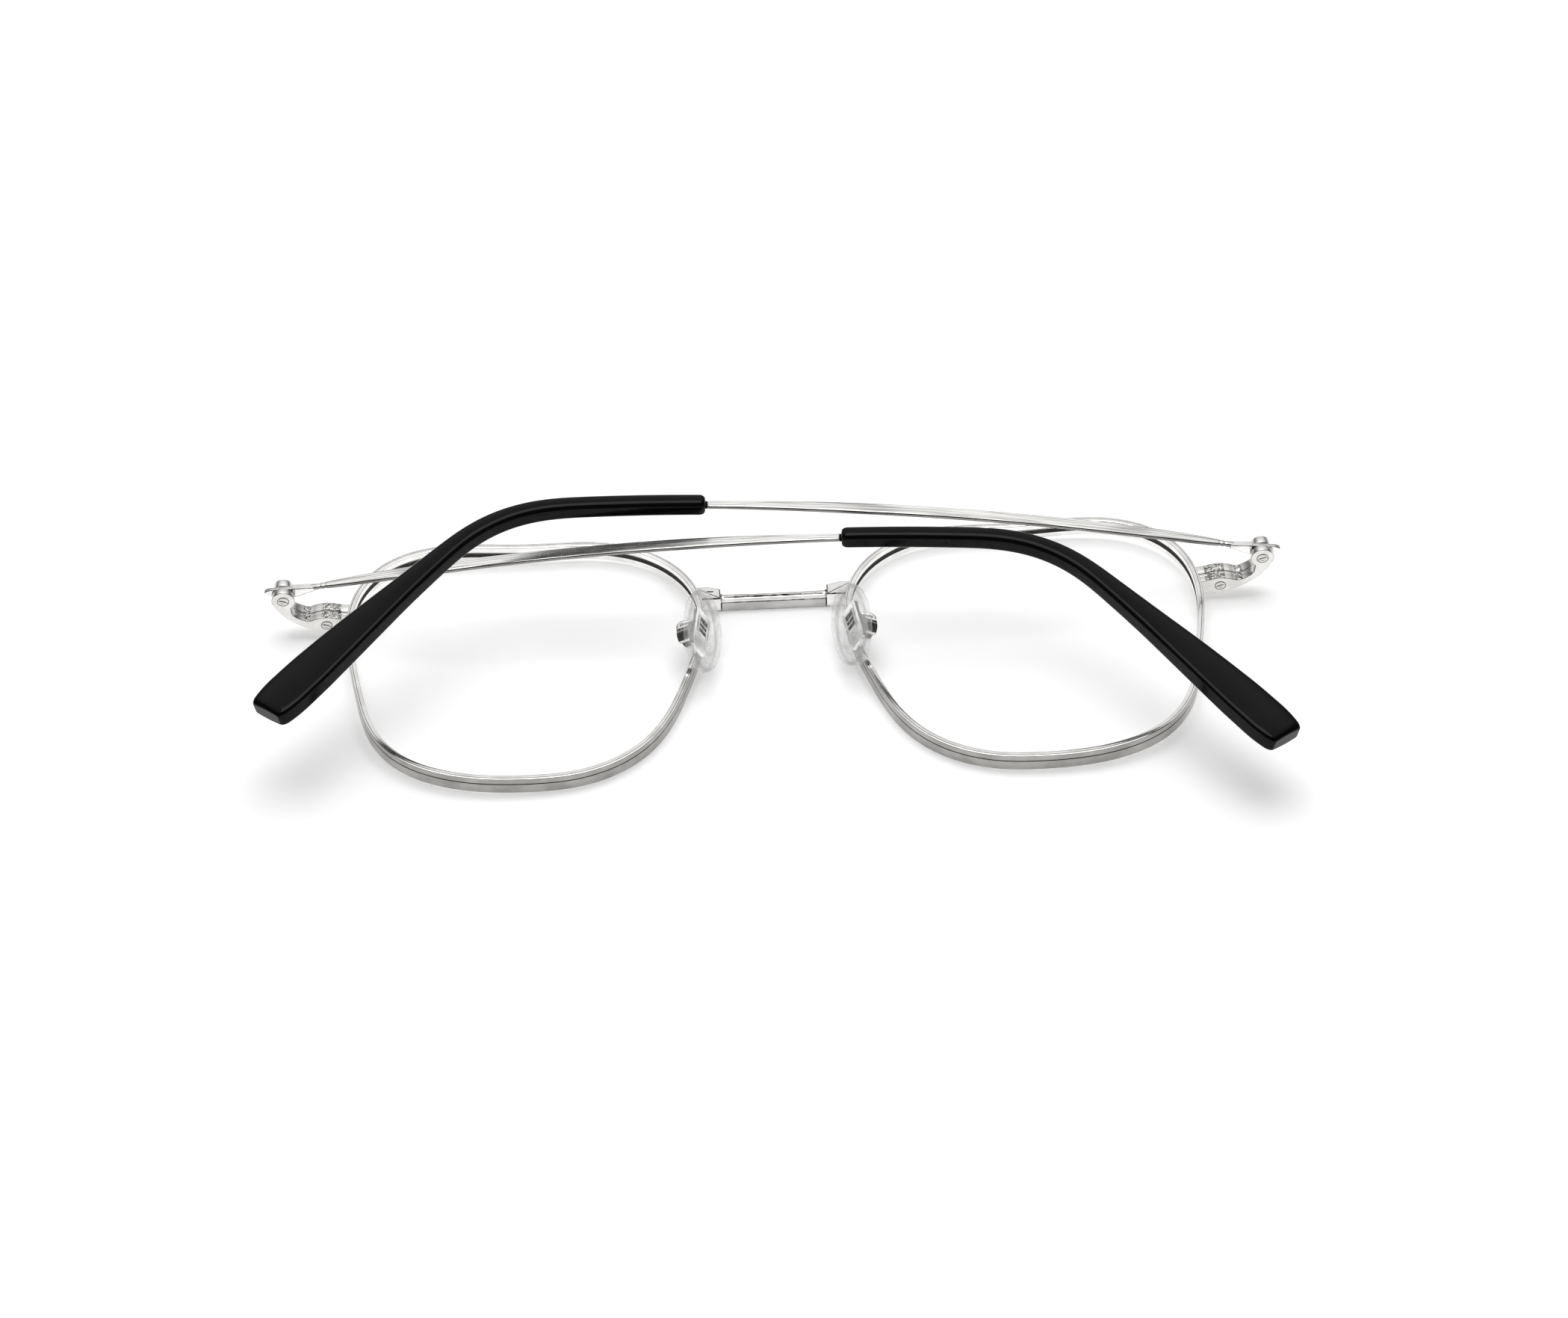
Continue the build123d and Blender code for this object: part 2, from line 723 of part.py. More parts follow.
with BuildPart() as arm_model:
    with BuildLine() as wire_line:
        cup_back = rock_point + back_way * (cup_depth - cup_slot_depth / 2)
        FilletPolyline(
            foot - Vector(0, 0, pad_wire_sink),
            foot + Vector(pad_wire_rise_outward, 0, pad_wire_rise),
            foot + Vector(pad_wire_reach_outward, -pad_wire_reach_down, pad_wire_reach_back),
            cup_back,
            radius=pad_wire_bend,
        )
    with BuildSketch(Plane(origin=wire_line.line @ 0, z_dir=wire_line.line % 0)):
        Circle(pad_wire_radius)
    sweep()
    add(rim_form.part, mode=Mode.SUBTRACT)
    with BuildSketch(pad_frame.offset(rock_distance - cup_slot_depth / 2)):
        Circle(cup_radius)
    extrude(amount=cup_depth)
    with BuildSketch(pad_frame.offset(rock_distance - cup_slot_depth / 2)):
        Rectangle(cup_radius * 3, lug_thickness + lug_gap * 2)
    extrude(amount=cup_slot_depth, mode=Mode.SUBTRACT)
    with BuildSketch(rock_frame.offset(-cup_radius)):
        Circle(pad_screw_radius + seat_gap)
    extrude(amount=cup_radius * 2, mode=Mode.SUBTRACT)

with BuildPart() as pad_screw_model:
    with BuildSketch(rock_frame.offset(-pad_screw_length / 2)):
        Circle(pad_screw_radius)
    extrude(amount=pad_screw_length)

pad_pieces = (
    ("nose_pad", pad_model),
    ("pad_plate", plate_model),
    ("pad_arm", arm_model),
    ("pad_screw", pad_screw_model),
)
for piece_name, model in pad_pieces:
    for side, hand in (("right", 1), ("left", -1)):
        with BuildPart() as pad_piece:
            if hand > 0:
                add(model.part)
            else:
                mirror(model.part, about=Plane.YZ)
        pad_piece.part.label = f"{side}_{piece_name}"
        export_step(pad_piece.part, f"parts/{side}_{piece_name}.step")
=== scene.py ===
import bpy
import numpy as np
from mathutils import Matrix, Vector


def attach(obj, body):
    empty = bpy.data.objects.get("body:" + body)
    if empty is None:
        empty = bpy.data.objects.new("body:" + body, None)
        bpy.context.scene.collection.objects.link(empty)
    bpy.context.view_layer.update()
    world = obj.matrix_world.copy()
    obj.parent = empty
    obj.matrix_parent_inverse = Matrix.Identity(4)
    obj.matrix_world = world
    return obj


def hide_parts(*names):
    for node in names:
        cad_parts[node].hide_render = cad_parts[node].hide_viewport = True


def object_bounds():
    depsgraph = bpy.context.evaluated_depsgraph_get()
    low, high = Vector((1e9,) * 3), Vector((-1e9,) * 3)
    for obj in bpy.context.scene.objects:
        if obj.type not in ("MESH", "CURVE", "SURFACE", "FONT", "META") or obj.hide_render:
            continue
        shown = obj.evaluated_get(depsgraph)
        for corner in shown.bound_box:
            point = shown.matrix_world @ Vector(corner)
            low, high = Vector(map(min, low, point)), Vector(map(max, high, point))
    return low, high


# Folded metal glasses on a white table. Sizes are in millimetres, and MM turns them into metres.
# Frame: +X is the wearer's right, +Y is up the face, +Z is up from the table towards the head.
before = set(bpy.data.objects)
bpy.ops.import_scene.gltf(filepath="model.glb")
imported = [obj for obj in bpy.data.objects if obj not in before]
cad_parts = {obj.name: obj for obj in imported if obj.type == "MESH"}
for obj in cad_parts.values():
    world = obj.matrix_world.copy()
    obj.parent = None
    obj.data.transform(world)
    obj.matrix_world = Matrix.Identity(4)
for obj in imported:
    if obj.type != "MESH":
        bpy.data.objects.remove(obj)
cad_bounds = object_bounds()
MM = 0.001
HANDS = (("right", 1), ("left", -1))


# Rims
# Each rim is one drawn wire of white metal, bent to the lens and closed beside the endpiece. It is
# satin outside and polished inside, with fine lines rolled in and a groove that holds the lens; their
# bottoms are painted near-black shade.
RIM_WIDTH = 49.1
RIM_HEIGHT = 45.0
RIM_GAP = 19.1
RIM_CENTRE_Y = -11.47
RIM_WALL = 0.85
RIM_DEPTH = 2.55
CURVE_RADIUS = 400.0
CURVE_CENTRE_INWARD = 7.0
CURVE_CENTRE_BELOW = 6.03
CURVE_LOW_Z = -0.22
RIM_CENTRE_X = (RIM_GAP + RIM_WIDTH) / 2
RIM_OUTER_X = RIM_GAP / 2 + RIM_WIDTH
RIM_OUTLINE_SHARES = [
    (0.976, 0.000), (1.000, 0.293), (0.950, 0.599), (0.780, 0.852), (0.519, 0.981), (0.000, 0.993),
    (-0.511, 0.967), (-0.766, 0.836), (-0.945, 0.596), (-1.000, 0.292), (-0.954, 0.000),
    (-0.878, -0.257), (-0.790, -0.498), (-0.658, -0.719), (-0.468, -0.885), (-0.240, -0.976),
    (0.000, -1.000), (0.493, -0.932), (0.723, -0.789), (0.872, -0.549), (0.937, -0.274),
]
LENS_THICKNESS = 1.7
LENS_RECESS = 0.42
GROOVE_PLACE = 1.5
GROOVE_WIDTH = 0.16
GROOVE_DEPTH = 0.1
REAR_LINE_INSET = 0.26
REAR_LINE_WIDTH = 0.07
REAR_LINE_DEPTH = 0.05
LENS_GROOVE_DEPTH = 0.35
LENS_GROOVE_HALF = 0.45
EDGE = 0.1
FINE_EDGE = 0.02
RIM_COUNT = 420
FINE_STEPS = 8
SHARPEST_MITRE = 0.5
CLOUD_SIZE = (3.1, 2.7, 2.9)
SMEAR_SIZE = (2.3, 2.9, 2.1)
BRUSH_BUMP = 0.012
POLISH_BUMP = 0.006
RIM_BRUSHING = (6.0, 0.07, 0.07)
RIM_DRAWING = (5.0, 0.12, 0.12)
GAP_MOTTLE_SIZE = (0.3, 0.3, 0.3)


class Value:
    """One output in a node tree. Sums, differences and products of values add Math nodes."""

    def __init__(self, shader, output):
        self.shader = shader
        self.output = output

    def maths(self, operation, first, second):
        return self.shader.add("Math", {"operation": operation}, {0: first, 1: second})

    def __add__(self, other):
        return self.maths("ADD", self, other)

    def __sub__(self, other):
        return self.maths("SUBTRACT", self, other)

    def __rsub__(self, other):
        return self.maths("SUBTRACT", other, self)

    def __mul__(self, other):
        return self.maths("MULTIPLY", self, other)

    __radd__ = __add__
    __rmul__ = __mul__

    def above(self, low, high):
        """0 below the low value and 1 over the high one, smooth between."""
        settings = {"interpolation_type": "SMOOTHSTEP"}
        return self.shader.add("MapRange", settings, {"Value": self, "From Min": low, "From Max": high})

    def mix(self, first, last):
        """From the first number to the last as this value goes from 0 to 1."""
        return self.shader.add("MapRange", {}, {"Value": self, "To Min": first, "To Max": last})

    def tint(self, first, last):
        """From the first colour to the last as this value goes from 0 to 1."""
        inputs = {"Factor": self, "A": (*first, 1), "B": (*last, 1)}
        return self.shader.add("Mix", {"data_type": "RGBA"}, inputs, "Result")


class Shader:
    """The node tree of a material or a world, on the node that is its surface."""

    def __init__(self, holder, surface="Principled BSDF", **constants):
        holder.use_nodes = True
        self.holder = holder
        self.tree = holder.node_tree
        self.surface = self.tree.nodes[surface]
        for socket, value in constants.items():
            self.surface.inputs[socket.replace("_", " ")].default_value = value

    def add(self, kind, settings, inputs, output=0):
        """Adds a node, gives it its settings, and joins or sets its inputs by name or by number."""
        node = self.tree.nodes.new("ShaderNode" + kind)
        for key, value in settings.items():
            if key == "stops":
                self.set_stops(node.color_ramp, *value)
            else:
                setattr(node, key, value)
        for key, value in inputs.items():
            self.join(value, self.socket(node.inputs, key))
        return Value(self, self.socket(node.outputs, output))

    def socket(self, sockets, key):
        """The socket of a name or number. A Mix node has one of each name for each data type."""
        if isinstance(key, int):
            return sockets[key]
        named = [socket for socket in sockets if socket.name == key]
        return next((socket for socket in named if socket.enabled), named[0])

    def set_stops(self, ramp, interpolation, stops):
        """Sets a ramp's stops, each a place and a shade of grey. A new ramp has two."""
        ramp.interpolation = interpolation
        for number, (place, shade) in enumerate(stops):
            element = ramp.elements[number] if number < 2 else ramp.elements.new(place)
            element.position = place
            element.color = (shade, shade, shade, 1)

    def join(self, value, socket):
        if isinstance(value, Value):
            self.tree.links.new(value.output, socket)
        else:
            socket.default_value = value

    def own(self, attribute):
        """The piece's own attribute as a vector."""
        return self.add("Attribute", {"attribute_name": attribute}, {}, "Vector")

    def noise(self, stretch, detail=2.0, attribute=None):
        """Noise of features as long as the stretch along each axis, in millimetres.

        The coordinates are the object's own, or those of an attribute, divided by the stretch.
        """
        source = self.own(attribute) if attribute else self.add("TexCoord", {}, {}, "Object")
        unit_size = 1 if attribute else MM
        scale = [1 / (size * unit_size) for size in stretch]
        place = self.add("VectorMath", {"operation": "MULTIPLY"}, {0: source, 1: scale})
        return self.add("TexNoise", {}, {"Vector": place, "Scale": 1.0, "Detail": detail})

    def bump(self, height, depth):
        """Bump of a depth in millimetres."""
        normal = self.add("Bump", {}, {"Height": height, "Distance": depth * MM, "Strength": 1.0})
        self.join(normal, self.surface.inputs["Normal"])

    def set(self, **sockets):
        for name, value in sockets.items():
            self.join(value, self.surface.inputs[name.replace("_", " ")])


def finish(name, **constants):
    """A new material's shader, with the sockets that are constant over the surface."""
    return Shader(bpy.data.materials.new(name), **constants)


def satin_metal(name, stretch, dark, light, attribute=None):
    """Satin wire or sheet: brushed along the stretch, with faint clouds."""
    shader = finish(name, Metallic=1.0)
    brushing = shader.noise(stretch, 3.0, attribute)
    clouds = shader.noise(CLOUD_SIZE)
    colour = (clouds * 0.6 + brushing * 0.4).above(0.38, 0.62).tint(dark, light)
    shader.set(Base_Color=colour, Roughness=brushing.mix(0.24, 0.42))
    shader.bump(brushing, BRUSH_BUMP)
    return shader.holder


def polished_metal(name, stretch, attribute=None):
    """Polished plating: faint drawing lines along the stretch, and smears that dull the gloss."""
    shader = finish(name, Metallic=1.0)
    drawn = shader.noise(stretch, 2.0, attribute)
    smears = shader.noise(SMEAR_SIZE, 3.0)
    colour = smears.above(0.3, 0.75).tint((0.70, 0.688, 0.672), (0.84, 0.832, 0.82))
    shader.set(Base_Color=colour, Roughness=(drawn * smears).mix(0.08, 0.3))
    shader.bump(drawn, POLISH_BUMP)
    return shader.holder


def painted_gap_shade():
    """Painted near-black shade in fine grooves and the gaps round screws, on washers and in pad windows."""
    shader = finish("painted_gap_shade", Metallic=0.6)
    gap_mottle = shader.noise(GAP_MOTTLE_SIZE)
    colour = gap_mottle.tint((0.012, 0.012, 0.012), (0.06, 0.058, 0.055))
    shader.set(Base_Color=colour, Roughness=gap_mottle.mix(0.4, 0.7))
    return shader.holder


RIM_SATIN = satin_metal("rim_satin", RIM_BRUSHING, (0.28, 0.272, 0.262), (0.38, 0.371, 0.36), "along")
RIM_POLISHED = polished_metal("rim_polished", RIM_DRAWING, "along")
# near-black painted shade for grooves, gaps, washers and pad windows
PAINTED_GAP_SHADE = painted_gap_shade()


def unit(vectors):
    """Vectors of length one."""
    return vectors / np.linalg.norm(vectors, axis=-1, keepdims=True)


def evened(curve, count):
    """A closed polyline stepped again: each place is the path's length times a share of the way."""
    ring = np.concatenate([curve, curve[:1]])
    lengths = np.concatenate([[0], np.cumsum(np.linalg.norm(np.diff(ring, axis=0), axis=1))])
    places = np.linspace(0, lengths[-1], count + 1)[:-1]
    return np.stack([np.interp(places, lengths, ring[:, axis]) for axis in range(2)], -1)


def hermite(points, slopes, steps, places, ahead):
    """Cubic curves from each point to the one ahead, with the given slopes at both ends."""
    starts = np.concatenate([[0], np.cumsum(steps)])
    span = np.clip(np.searchsorted(starts, places, side="right") - 1, 0, len(steps) - 1)
    share = ((places - starts[span]) / steps[span])[:, None]
    step = steps[span][:, None]
    follows = ahead[span]
    return (
        (1 + 2 * share) * (1 - share) ** 2 * points[span]
        + share * (1 - share) ** 2 * step * slopes[span]
        + share**2 * (3 - 2 * share) * points[follows]
        - share**2 * (1 - share) * step * slopes[follows]
    )


def closed_spline(points, count):
    """Points at even steps along a closed curve that bends smoothly at every given point.

    The slopes are such that each pair of cubics that meet at a point bend alike there.
    """
    total = len(points)
    steps = np.linalg.norm(np.roll(points, -1, 0) - points, axis=1)
    before = np.roll(steps, 1)
    index = np.arange(total)
    system = np.zeros((total, total))
    system[index, index] = 2 * (steps + before)
    system[index, (index - 1) % total] = steps
    system[index, (index + 1) % total] = before
    slope_out = (np.roll(points, -1, 0) - points) / steps[:, None]
    slope_in = np.roll(slope_out, 1, 0)
    slopes = np.linalg.solve(system, 3 * (steps[:, None] * slope_in + before[:, None] * slope_out))
    places = np.linspace(0, steps.sum(), count * FINE_STEPS + 1)[:-1]
    return evened(hermite(points, slopes, steps, places, (index + 1) % total), count)


def rounded(corners, radii, steps=4):
    """A closed outline with each corner turned into an arc."""
    corners = np.asarray(corners, float)
    radii = np.broadcast_to(np.asarray(radii, float), len(corners))[:, None]
    back = unit(np.roll(corners, 1, 0) - corners)
    ahead = unit(np.roll(corners, -1, 0) - corners)
    half = np.arccos(np.clip((back * ahead).sum(1, keepdims=True), -1, 1)) / 2
    centre = corners + unit(back + ahead) * radii / np.sin(half)
    first = corners + back * radii / np.tan(half) - centre
    last = corners + ahead * radii / np.tan(half) - centre
    turn = np.pi - 2 * half
    arcs = []
    for share in np.linspace(0, 1, steps + 1):
        weights = np.sin((1 - share) * turn) / np.sin(turn), np.sin(share * turn) / np.sin(turn)
        arcs.append(centre + first * weights[0] + last * weights[1])
    return np.stack(arcs, 1).reshape(-1, 2)


def outward(outline):
    """Normals of an anticlockwise outline, longer at corners, so that a side moves by one."""
    back = unit(outline - np.roll(outline, 1, 0))
    ahead = unit(np.roll(outline, -1, 0) - outline)
    normal_back = np.stack([back[:, 1], -back[:, 0]], -1)
    normal_ahead = np.stack([ahead[:, 1], -ahead[:, 0]], -1)
    middle = unit(normal_back + normal_ahead)
    return middle / np.clip((middle * normal_back).sum(1, keepdims=True), SHARPEST_MITRE, 1)


def tube(rings, closed=False):
    """Points and quads of a tube from its rings, closed on itself or capped at both ends."""
    count, around = rings.shape[:2]
    row = np.arange(count if closed else count - 1)[:, None]
    column = np.arange(around)[None, :]
    next_row = (row + 1) % count
    next_column = (column + 1) % around
    corners = (
        row * around + column,
        row * around + next_column,
        next_row * around + next_column,
        next_row * around + column,
    )
    faces = np.stack(corners, -1).reshape(-1, 4).tolist()
    if not closed:
        faces.append(list(range(around))[::-1])
        faces.append(list(range((count - 1) * around, count * around)))
    return rings.reshape(-1, 3), faces


def turned_inside_out(faces):
    return [face[::-1] for face in faces]


def make_piece(name, body, solid, materials, nodes=(), hand=1, indices=None, along=None):
    """A Blender object from a solid, mirrored for the left hand, that rides on a body.

    The indices give each face's material, and along gives each point's own places on the piece.
    """
    points, faces = solid
    points = points * (hand, 1, 1) * MM
    if hand < 0:
        faces = turned_inside_out(faces)
    mesh = bpy.data.meshes.new(name)
    mesh.from_pydata(points.tolist(), [], faces)
    for material in materials:
        mesh.materials.append(material)
    mesh.polygons.foreach_set("use_smooth", np.ones(len(faces), bool))
    if indices is not None:
        mesh.polygons.foreach_set("material_index", np.asarray(indices, np.int32))
    if along is not None:
        attribute = mesh.attributes.new("along", "FLOAT_VECTOR", "POINT")
        attribute.data.foreach_set("vector", np.asarray(along, np.float32).ravel())
    mesh.update()
    made = bpy.data.objects.new(name, mesh)
    bpy.context.collection.objects.link(made)
    smoothing = made.modifiers.new("even_normals", "WEIGHTED_NORMAL")
    smoothing.keep_sharp = True
    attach(made, body)
    if nodes:
        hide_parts(*nodes)


def curve_height(x, y, depth=0.0):
    """Height over the table of the rims' front surface, or of one a depth behind it.

    It is a sphere of the curve's radius whose lowest point lies nearer the nose and lower down.
    """
    reach = np.hypot(x - RIM_CENTRE_X + CURVE_CENTRE_INWARD, y - RIM_CENTRE_Y + CURVE_CENTRE_BELOW)
    return CURVE_LOW_Z + CURVE_RADIUS - np.sqrt((CURVE_RADIUS - depth) ** 2 - reach**2)


def round_lens(outline, section):
    """Rings of a section, given as inset and depth, carried round an outline on the lens curve."""
    flat = outline[:, None] - outward(outline)[:, None] * section[None, :, :1]
    depth = np.broadcast_to(section[None, :, 1], flat.shape[:2])
    return np.concatenate([flat, curve_height(flat[..., 0], flat[..., 1], depth)[..., None]], -1)


lens_groove_place = LENS_RECESS + LENS_THICKNESS / 2
rim_section = rounded(
    [
        (0, 0),
        (0, GROOVE_PLACE),
        (GROOVE_DEPTH, GROOVE_PLACE),
        (GROOVE_DEPTH, GROOVE_PLACE + GROOVE_WIDTH),
        (0, GROOVE_PLACE + GROOVE_WIDTH),
        (0, RIM_DEPTH),
        (REAR_LINE_INSET, RIM_DEPTH),
        (REAR_LINE_INSET + REAR_LINE_WIDTH / 2, RIM_DEPTH - REAR_LINE_DEPTH),
        (REAR_LINE_INSET + REAR_LINE_WIDTH, RIM_DEPTH),
        (RIM_WALL, RIM_DEPTH),
        (RIM_WALL, lens_groove_place + LENS_GROOVE_HALF),
        (RIM_WALL - LENS_GROOVE_DEPTH, lens_groove_place),
        (RIM_WALL, lens_groove_place - LENS_GROOVE_HALF),
        (RIM_WALL, 0),
    ],
    [EDGE, FINE_EDGE, FINE_EDGE, FINE_EDGE, FINE_EDGE, EDGE, FINE_EDGE / 2]
    + [FINE_EDGE / 2, FINE_EDGE / 2, EDGE, EDGE / 2, EDGE / 2, EDGE / 2, EDGE],
)
rim_shares = np.array(RIM_OUTLINE_SHARES)
rim_points = rim_shares * (RIM_WIDTH / 2, RIM_HEIGHT / 2) + (RIM_CENTRE_X, RIM_CENTRE_Y)
rim_line = closed_spline(rim_points, RIM_COUNT)
rim_solid = tube(round_lens(rim_line, rim_section), closed=True)
# a quad is satin on the outer wall, painted near-black shade in the grooves and lines, and polished
# elsewhere
inset, depth = ((rim_section + np.roll(rim_section, -1, 0)) / 2).T
in_groove = (inset > GROOVE_DEPTH * 0.6) & (inset < RIM_WALL / 4)
in_groove &= np.abs(depth - GROOVE_PLACE - GROOVE_WIDTH / 2) < GROOVE_WIDTH
in_line = np.abs(inset - REAR_LINE_INSET - REAR_LINE_WIDTH / 2) < REAR_LINE_WIDTH / 2
in_line &= (depth < RIM_DEPTH - REAR_LINE_DEPTH / 3) & (depth > RIM_DEPTH - REAR_LINE_DEPTH * 2)
in_lens_groove = (inset > RIM_WALL - LENS_GROOVE_DEPTH * 0.9) & (inset < RIM_WALL - EDGE / 4)
in_lens_groove &= np.abs(depth - lens_groove_place) < LENS_GROOVE_HALF
quad_material = np.where((inset < EDGE / 3) & ~in_groove, 0, 1)
quad_material[in_groove | in_line | in_lens_groove] = 2
rim_along = np.zeros((RIM_COUNT, len(rim_section), 3))
rim_along[..., 0] = np.linspace(0, np.pi * (RIM_WIDTH + RIM_HEIGHT) / 2, RIM_COUNT, endpoint=False)[:, None]
rim_along[..., 1:] = rim_section
for side, hand in HANDS:
    make_piece(
        f"{side}_rim_wire", "front_frame", rim_solid, [RIM_SATIN, RIM_POLISHED, PAINTED_GAP_SHADE],
        [f"{side}_rim"], hand, np.tile(quad_material, RIM_COUNT), rim_along.reshape(-1, 3)
    )


# Lenses
# A clear coated sheet on the rim's curve, cut to the rim's outline. Its edge sits in the groove,
# and the rim's closing screw clamps it there.
LENS_RINGS = 14
LENS_RING_POWER = 1.5
LENS_SMEARS = (14.0, 9.0, 9.0)


def clear_lens():
    """A coated lens: almost nothing but a faint sheen."""
    shader = finish("clear_lens", IOR=1.5)
    smear = shader.noise(LENS_SMEARS)
    shader.set(
        Base_Color=smear.tint((0.93, 0.95, 0.95), (0.99, 0.99, 0.99)),
        Alpha=smear.mix(0.01, 0.03),
        Roughness=smear.mix(0.01, 0.05),
    )
    return shader.holder


LENS = clear_lens()
lens_edge_line = rim_line - outward(rim_line) * (RIM_WALL - LENS_GROOVE_DEPTH / 2)
lens_centre = np.array([RIM_CENTRE_X, RIM_CENTRE_Y])
# rings are shares of the edge line's reach: out from the centre in front, and back in behind
out_shares = 1 - np.linspace(1, 0, LENS_RINGS)[1:] ** LENS_RING_POWER
ring_shares = np.concatenate([out_shares, out_shares[::-1]])[:, None, None]
ring_depths = np.repeat([LENS_RECESS, LENS_RECESS + LENS_THICKNESS], LENS_RINGS - 1)[:, None]
lens_flat = lens_centre + (lens_edge_line - lens_centre) * ring_shares
lens_heights = curve_height(lens_flat[..., 0], lens_flat[..., 1], ring_depths)
lens_solid = tube(np.concatenate([lens_flat, lens_heights[..., None]], -1))
for side, hand in HANDS:
    lens_nodes = [f"{side}_lens"]
    make_piece(f"{side}_lens_sheet", "front_frame", lens_solid, [LENS], lens_nodes, hand)


# Bridge
# A square bar of white metal whose rear face is hollowed into a long shallow channel. A faceted
# block at each end is soldered to the rim, and a dark seam shows where bar and block meet.
BRIDGE_BLOCK_LENGTH = 2.25
BRIDGE_BAR_HALF = RIM_GAP / 2 - BRIDGE_BLOCK_LENGTH
BRIDGE_BAR_HEIGHT = 1.56
BRIDGE_BAR_DEPTH = 1.6
BAR_BURIED = 0.4
BAR_STATIONS = 61
BAR_WAIST = 0.12
CHANNEL_DEPTH = 0.2
CHANNEL_HALF = 0.42
CHANNEL_LIFT = 0.08
CHANNEL_END = 0.35
CHANNEL_LEAST_SHARE = 0.02
STREAK_START = -5.4
STREAK_END = 3.9
CORNER_QUADS = 5
BLOCK_DEPTH = 2.4
BLOCK_FRONT_Z = 0.15
BLOCK_TOP_RISE = 0.75
BLOCK_SHOULDER_REACH = 1.7
BLOCK_SHOULDER_RISE = 0.25
BLOCK_FOOT_DROP = 0.1
BLOCK_BURIED = 0.3
BLOCK_SLOT_PLACE = (-8.75, 0.55)
BLOCK_SLOT_LENGTH = 1.0
BLOCK_SLOT_WIDTH = 0.3
COLLAR_WIDTH = 0.18
COLLAR_PROUD = 0.07
BAR_BRUSHING = (3.0, 0.09, 0.09)
BRIGHT_DRAWING = (0.5, 0.12, 0.3)
EDGE_MOTTLE_SIZE = (0.9, 0.5, 0.5)
X_WAY = np.array([1.0, 0, 0])
Y_WAY = np.array([0, 1.0, 0])
Z_WAY = np.array([0, 0, 1.0])
ORIGIN = np.zeros(3)
UNIT_SQUARE = np.array([(-1, -1), (1, -1), (1, 1), (-1, 1)])


def painted_edge_shade_and_seam():
    """Painted shade on fine rounded edges and in slots, and the dark seams where bar and block meet."""
    shader = finish("painted_edge_shade_and_seam", Metallic=1.0)
    edge_mottle = shader.noise(EDGE_MOTTLE_SIZE, 3.0)
    colour = edge_mottle.above(0.42, 0.66).tint((0.03, 0.029, 0.028), (0.34, 0.33, 0.32))
    shader.set(Base_Color=colour, Roughness=edge_mottle.mix(0.25, 0.5))
    return shader.holder


BAR_SATIN = satin_metal("bar_satin", BAR_BRUSHING, (0.38, 0.372, 0.362), (0.52, 0.511, 0.50))
BRIGHT = polished_metal("bright_metal", BRIGHT_DRAWING)
# painted shade for fine edges and slots, also used for the dark bridge seams
EDGE_SHADE_AND_SEAM = painted_edge_shade_and_seam()


def prism(outline, low, high, edge, origin, across, up, normal, steps=3):
    """A slab between two heights, with its outline placed by two directions and rounded edges.

    Along an edge's quarter circle the inset is the radius times 1 less the cosine of the angle, and
    the drop is the radius times 1 less its sine.
    """
    angles = np.linspace(0, np.pi / 2, steps + 1)
    drops = edge * (1 - np.sin(angles))
    insets = edge * (1 - np.cos(angles))
    heights = np.concatenate([low + drops[::-1], high - drops])
    insets = np.concatenate([insets[::-1], insets])
    flat = outline[None] - outward(outline)[None] * insets[:, None, None]
    rings = origin + flat[..., :1] * across + flat[..., 1:] * up + heights[:, None, None] * normal
    points, faces = tube(rings)
    if np.dot(np.cross(across, up), normal) < 0:
        faces = turned_inside_out(faces)
    return points, faces


def prism_indices(outline, low_edge, wall, high_edge, cap, steps=3):
    """Material numbers of a prism's quads and its two caps."""
    rows = [low_edge] * steps + [wall] + [high_edge] * steps
    return np.concatenate([np.repeat(rows, len(outline)), [cap, cap]])


def joined(*solids):
    """Several solids, each of points and faces, as one."""
    points = []
    faces = []
    start = 0
    for some_points, some_faces in solids:
        points.append(some_points)
        faces.extend([start + index for index in face] for face in some_faces)
        start += len(some_points)
    return np.concatenate(points), faces


def box_outline(wide, high, radius, steps=5):
    """A rectangle round the origin with rounded corners."""
    return rounded(UNIT_SQUARE * (wide / 2, high / 2), radius, steps)


def flipped(solid):
    """A solid mirrored to the other side."""
    points, faces = solid
    return points * (-1, 1, 1), turned_inside_out(faces)


def bar_section(x):
    """The bar's section at a place: its top rises with the square of the way out to the blocks."""
    hollow = CHANNEL_DEPTH * np.clip((BRIDGE_BAR_HALF - abs(x)) / CHANNEL_END, CHANNEL_LEAST_SHARE, 1)
    top = bar_half + BAR_WAIST * min(abs(x) / BRIDGE_BAR_HALF, 1) ** 2
    corners = [
        (-bar_half, 0),
        (top, 0),
        (top, BRIDGE_BAR_DEPTH),
        (CHANNEL_LIFT + CHANNEL_HALF, BRIDGE_BAR_DEPTH),
        (CHANNEL_LIFT + CHANNEL_HALF / 3, BRIDGE_BAR_DEPTH - hollow),
        (CHANNEL_LIFT - CHANNEL_HALF / 2, BRIDGE_BAR_DEPTH - hollow),
        (CHANNEL_LIFT - CHANNEL_HALF, BRIDGE_BAR_DEPTH),
        (-bar_half, BRIDGE_BAR_DEPTH),
    ]
    radii = [EDGE, EDGE, EDGE, FINE_EDGE * 2, EDGE * 1.5, EDGE * 1.5, FINE_EDGE * 2, EDGE]
    return rounded(corners, radii, CORNER_QUADS - 1)


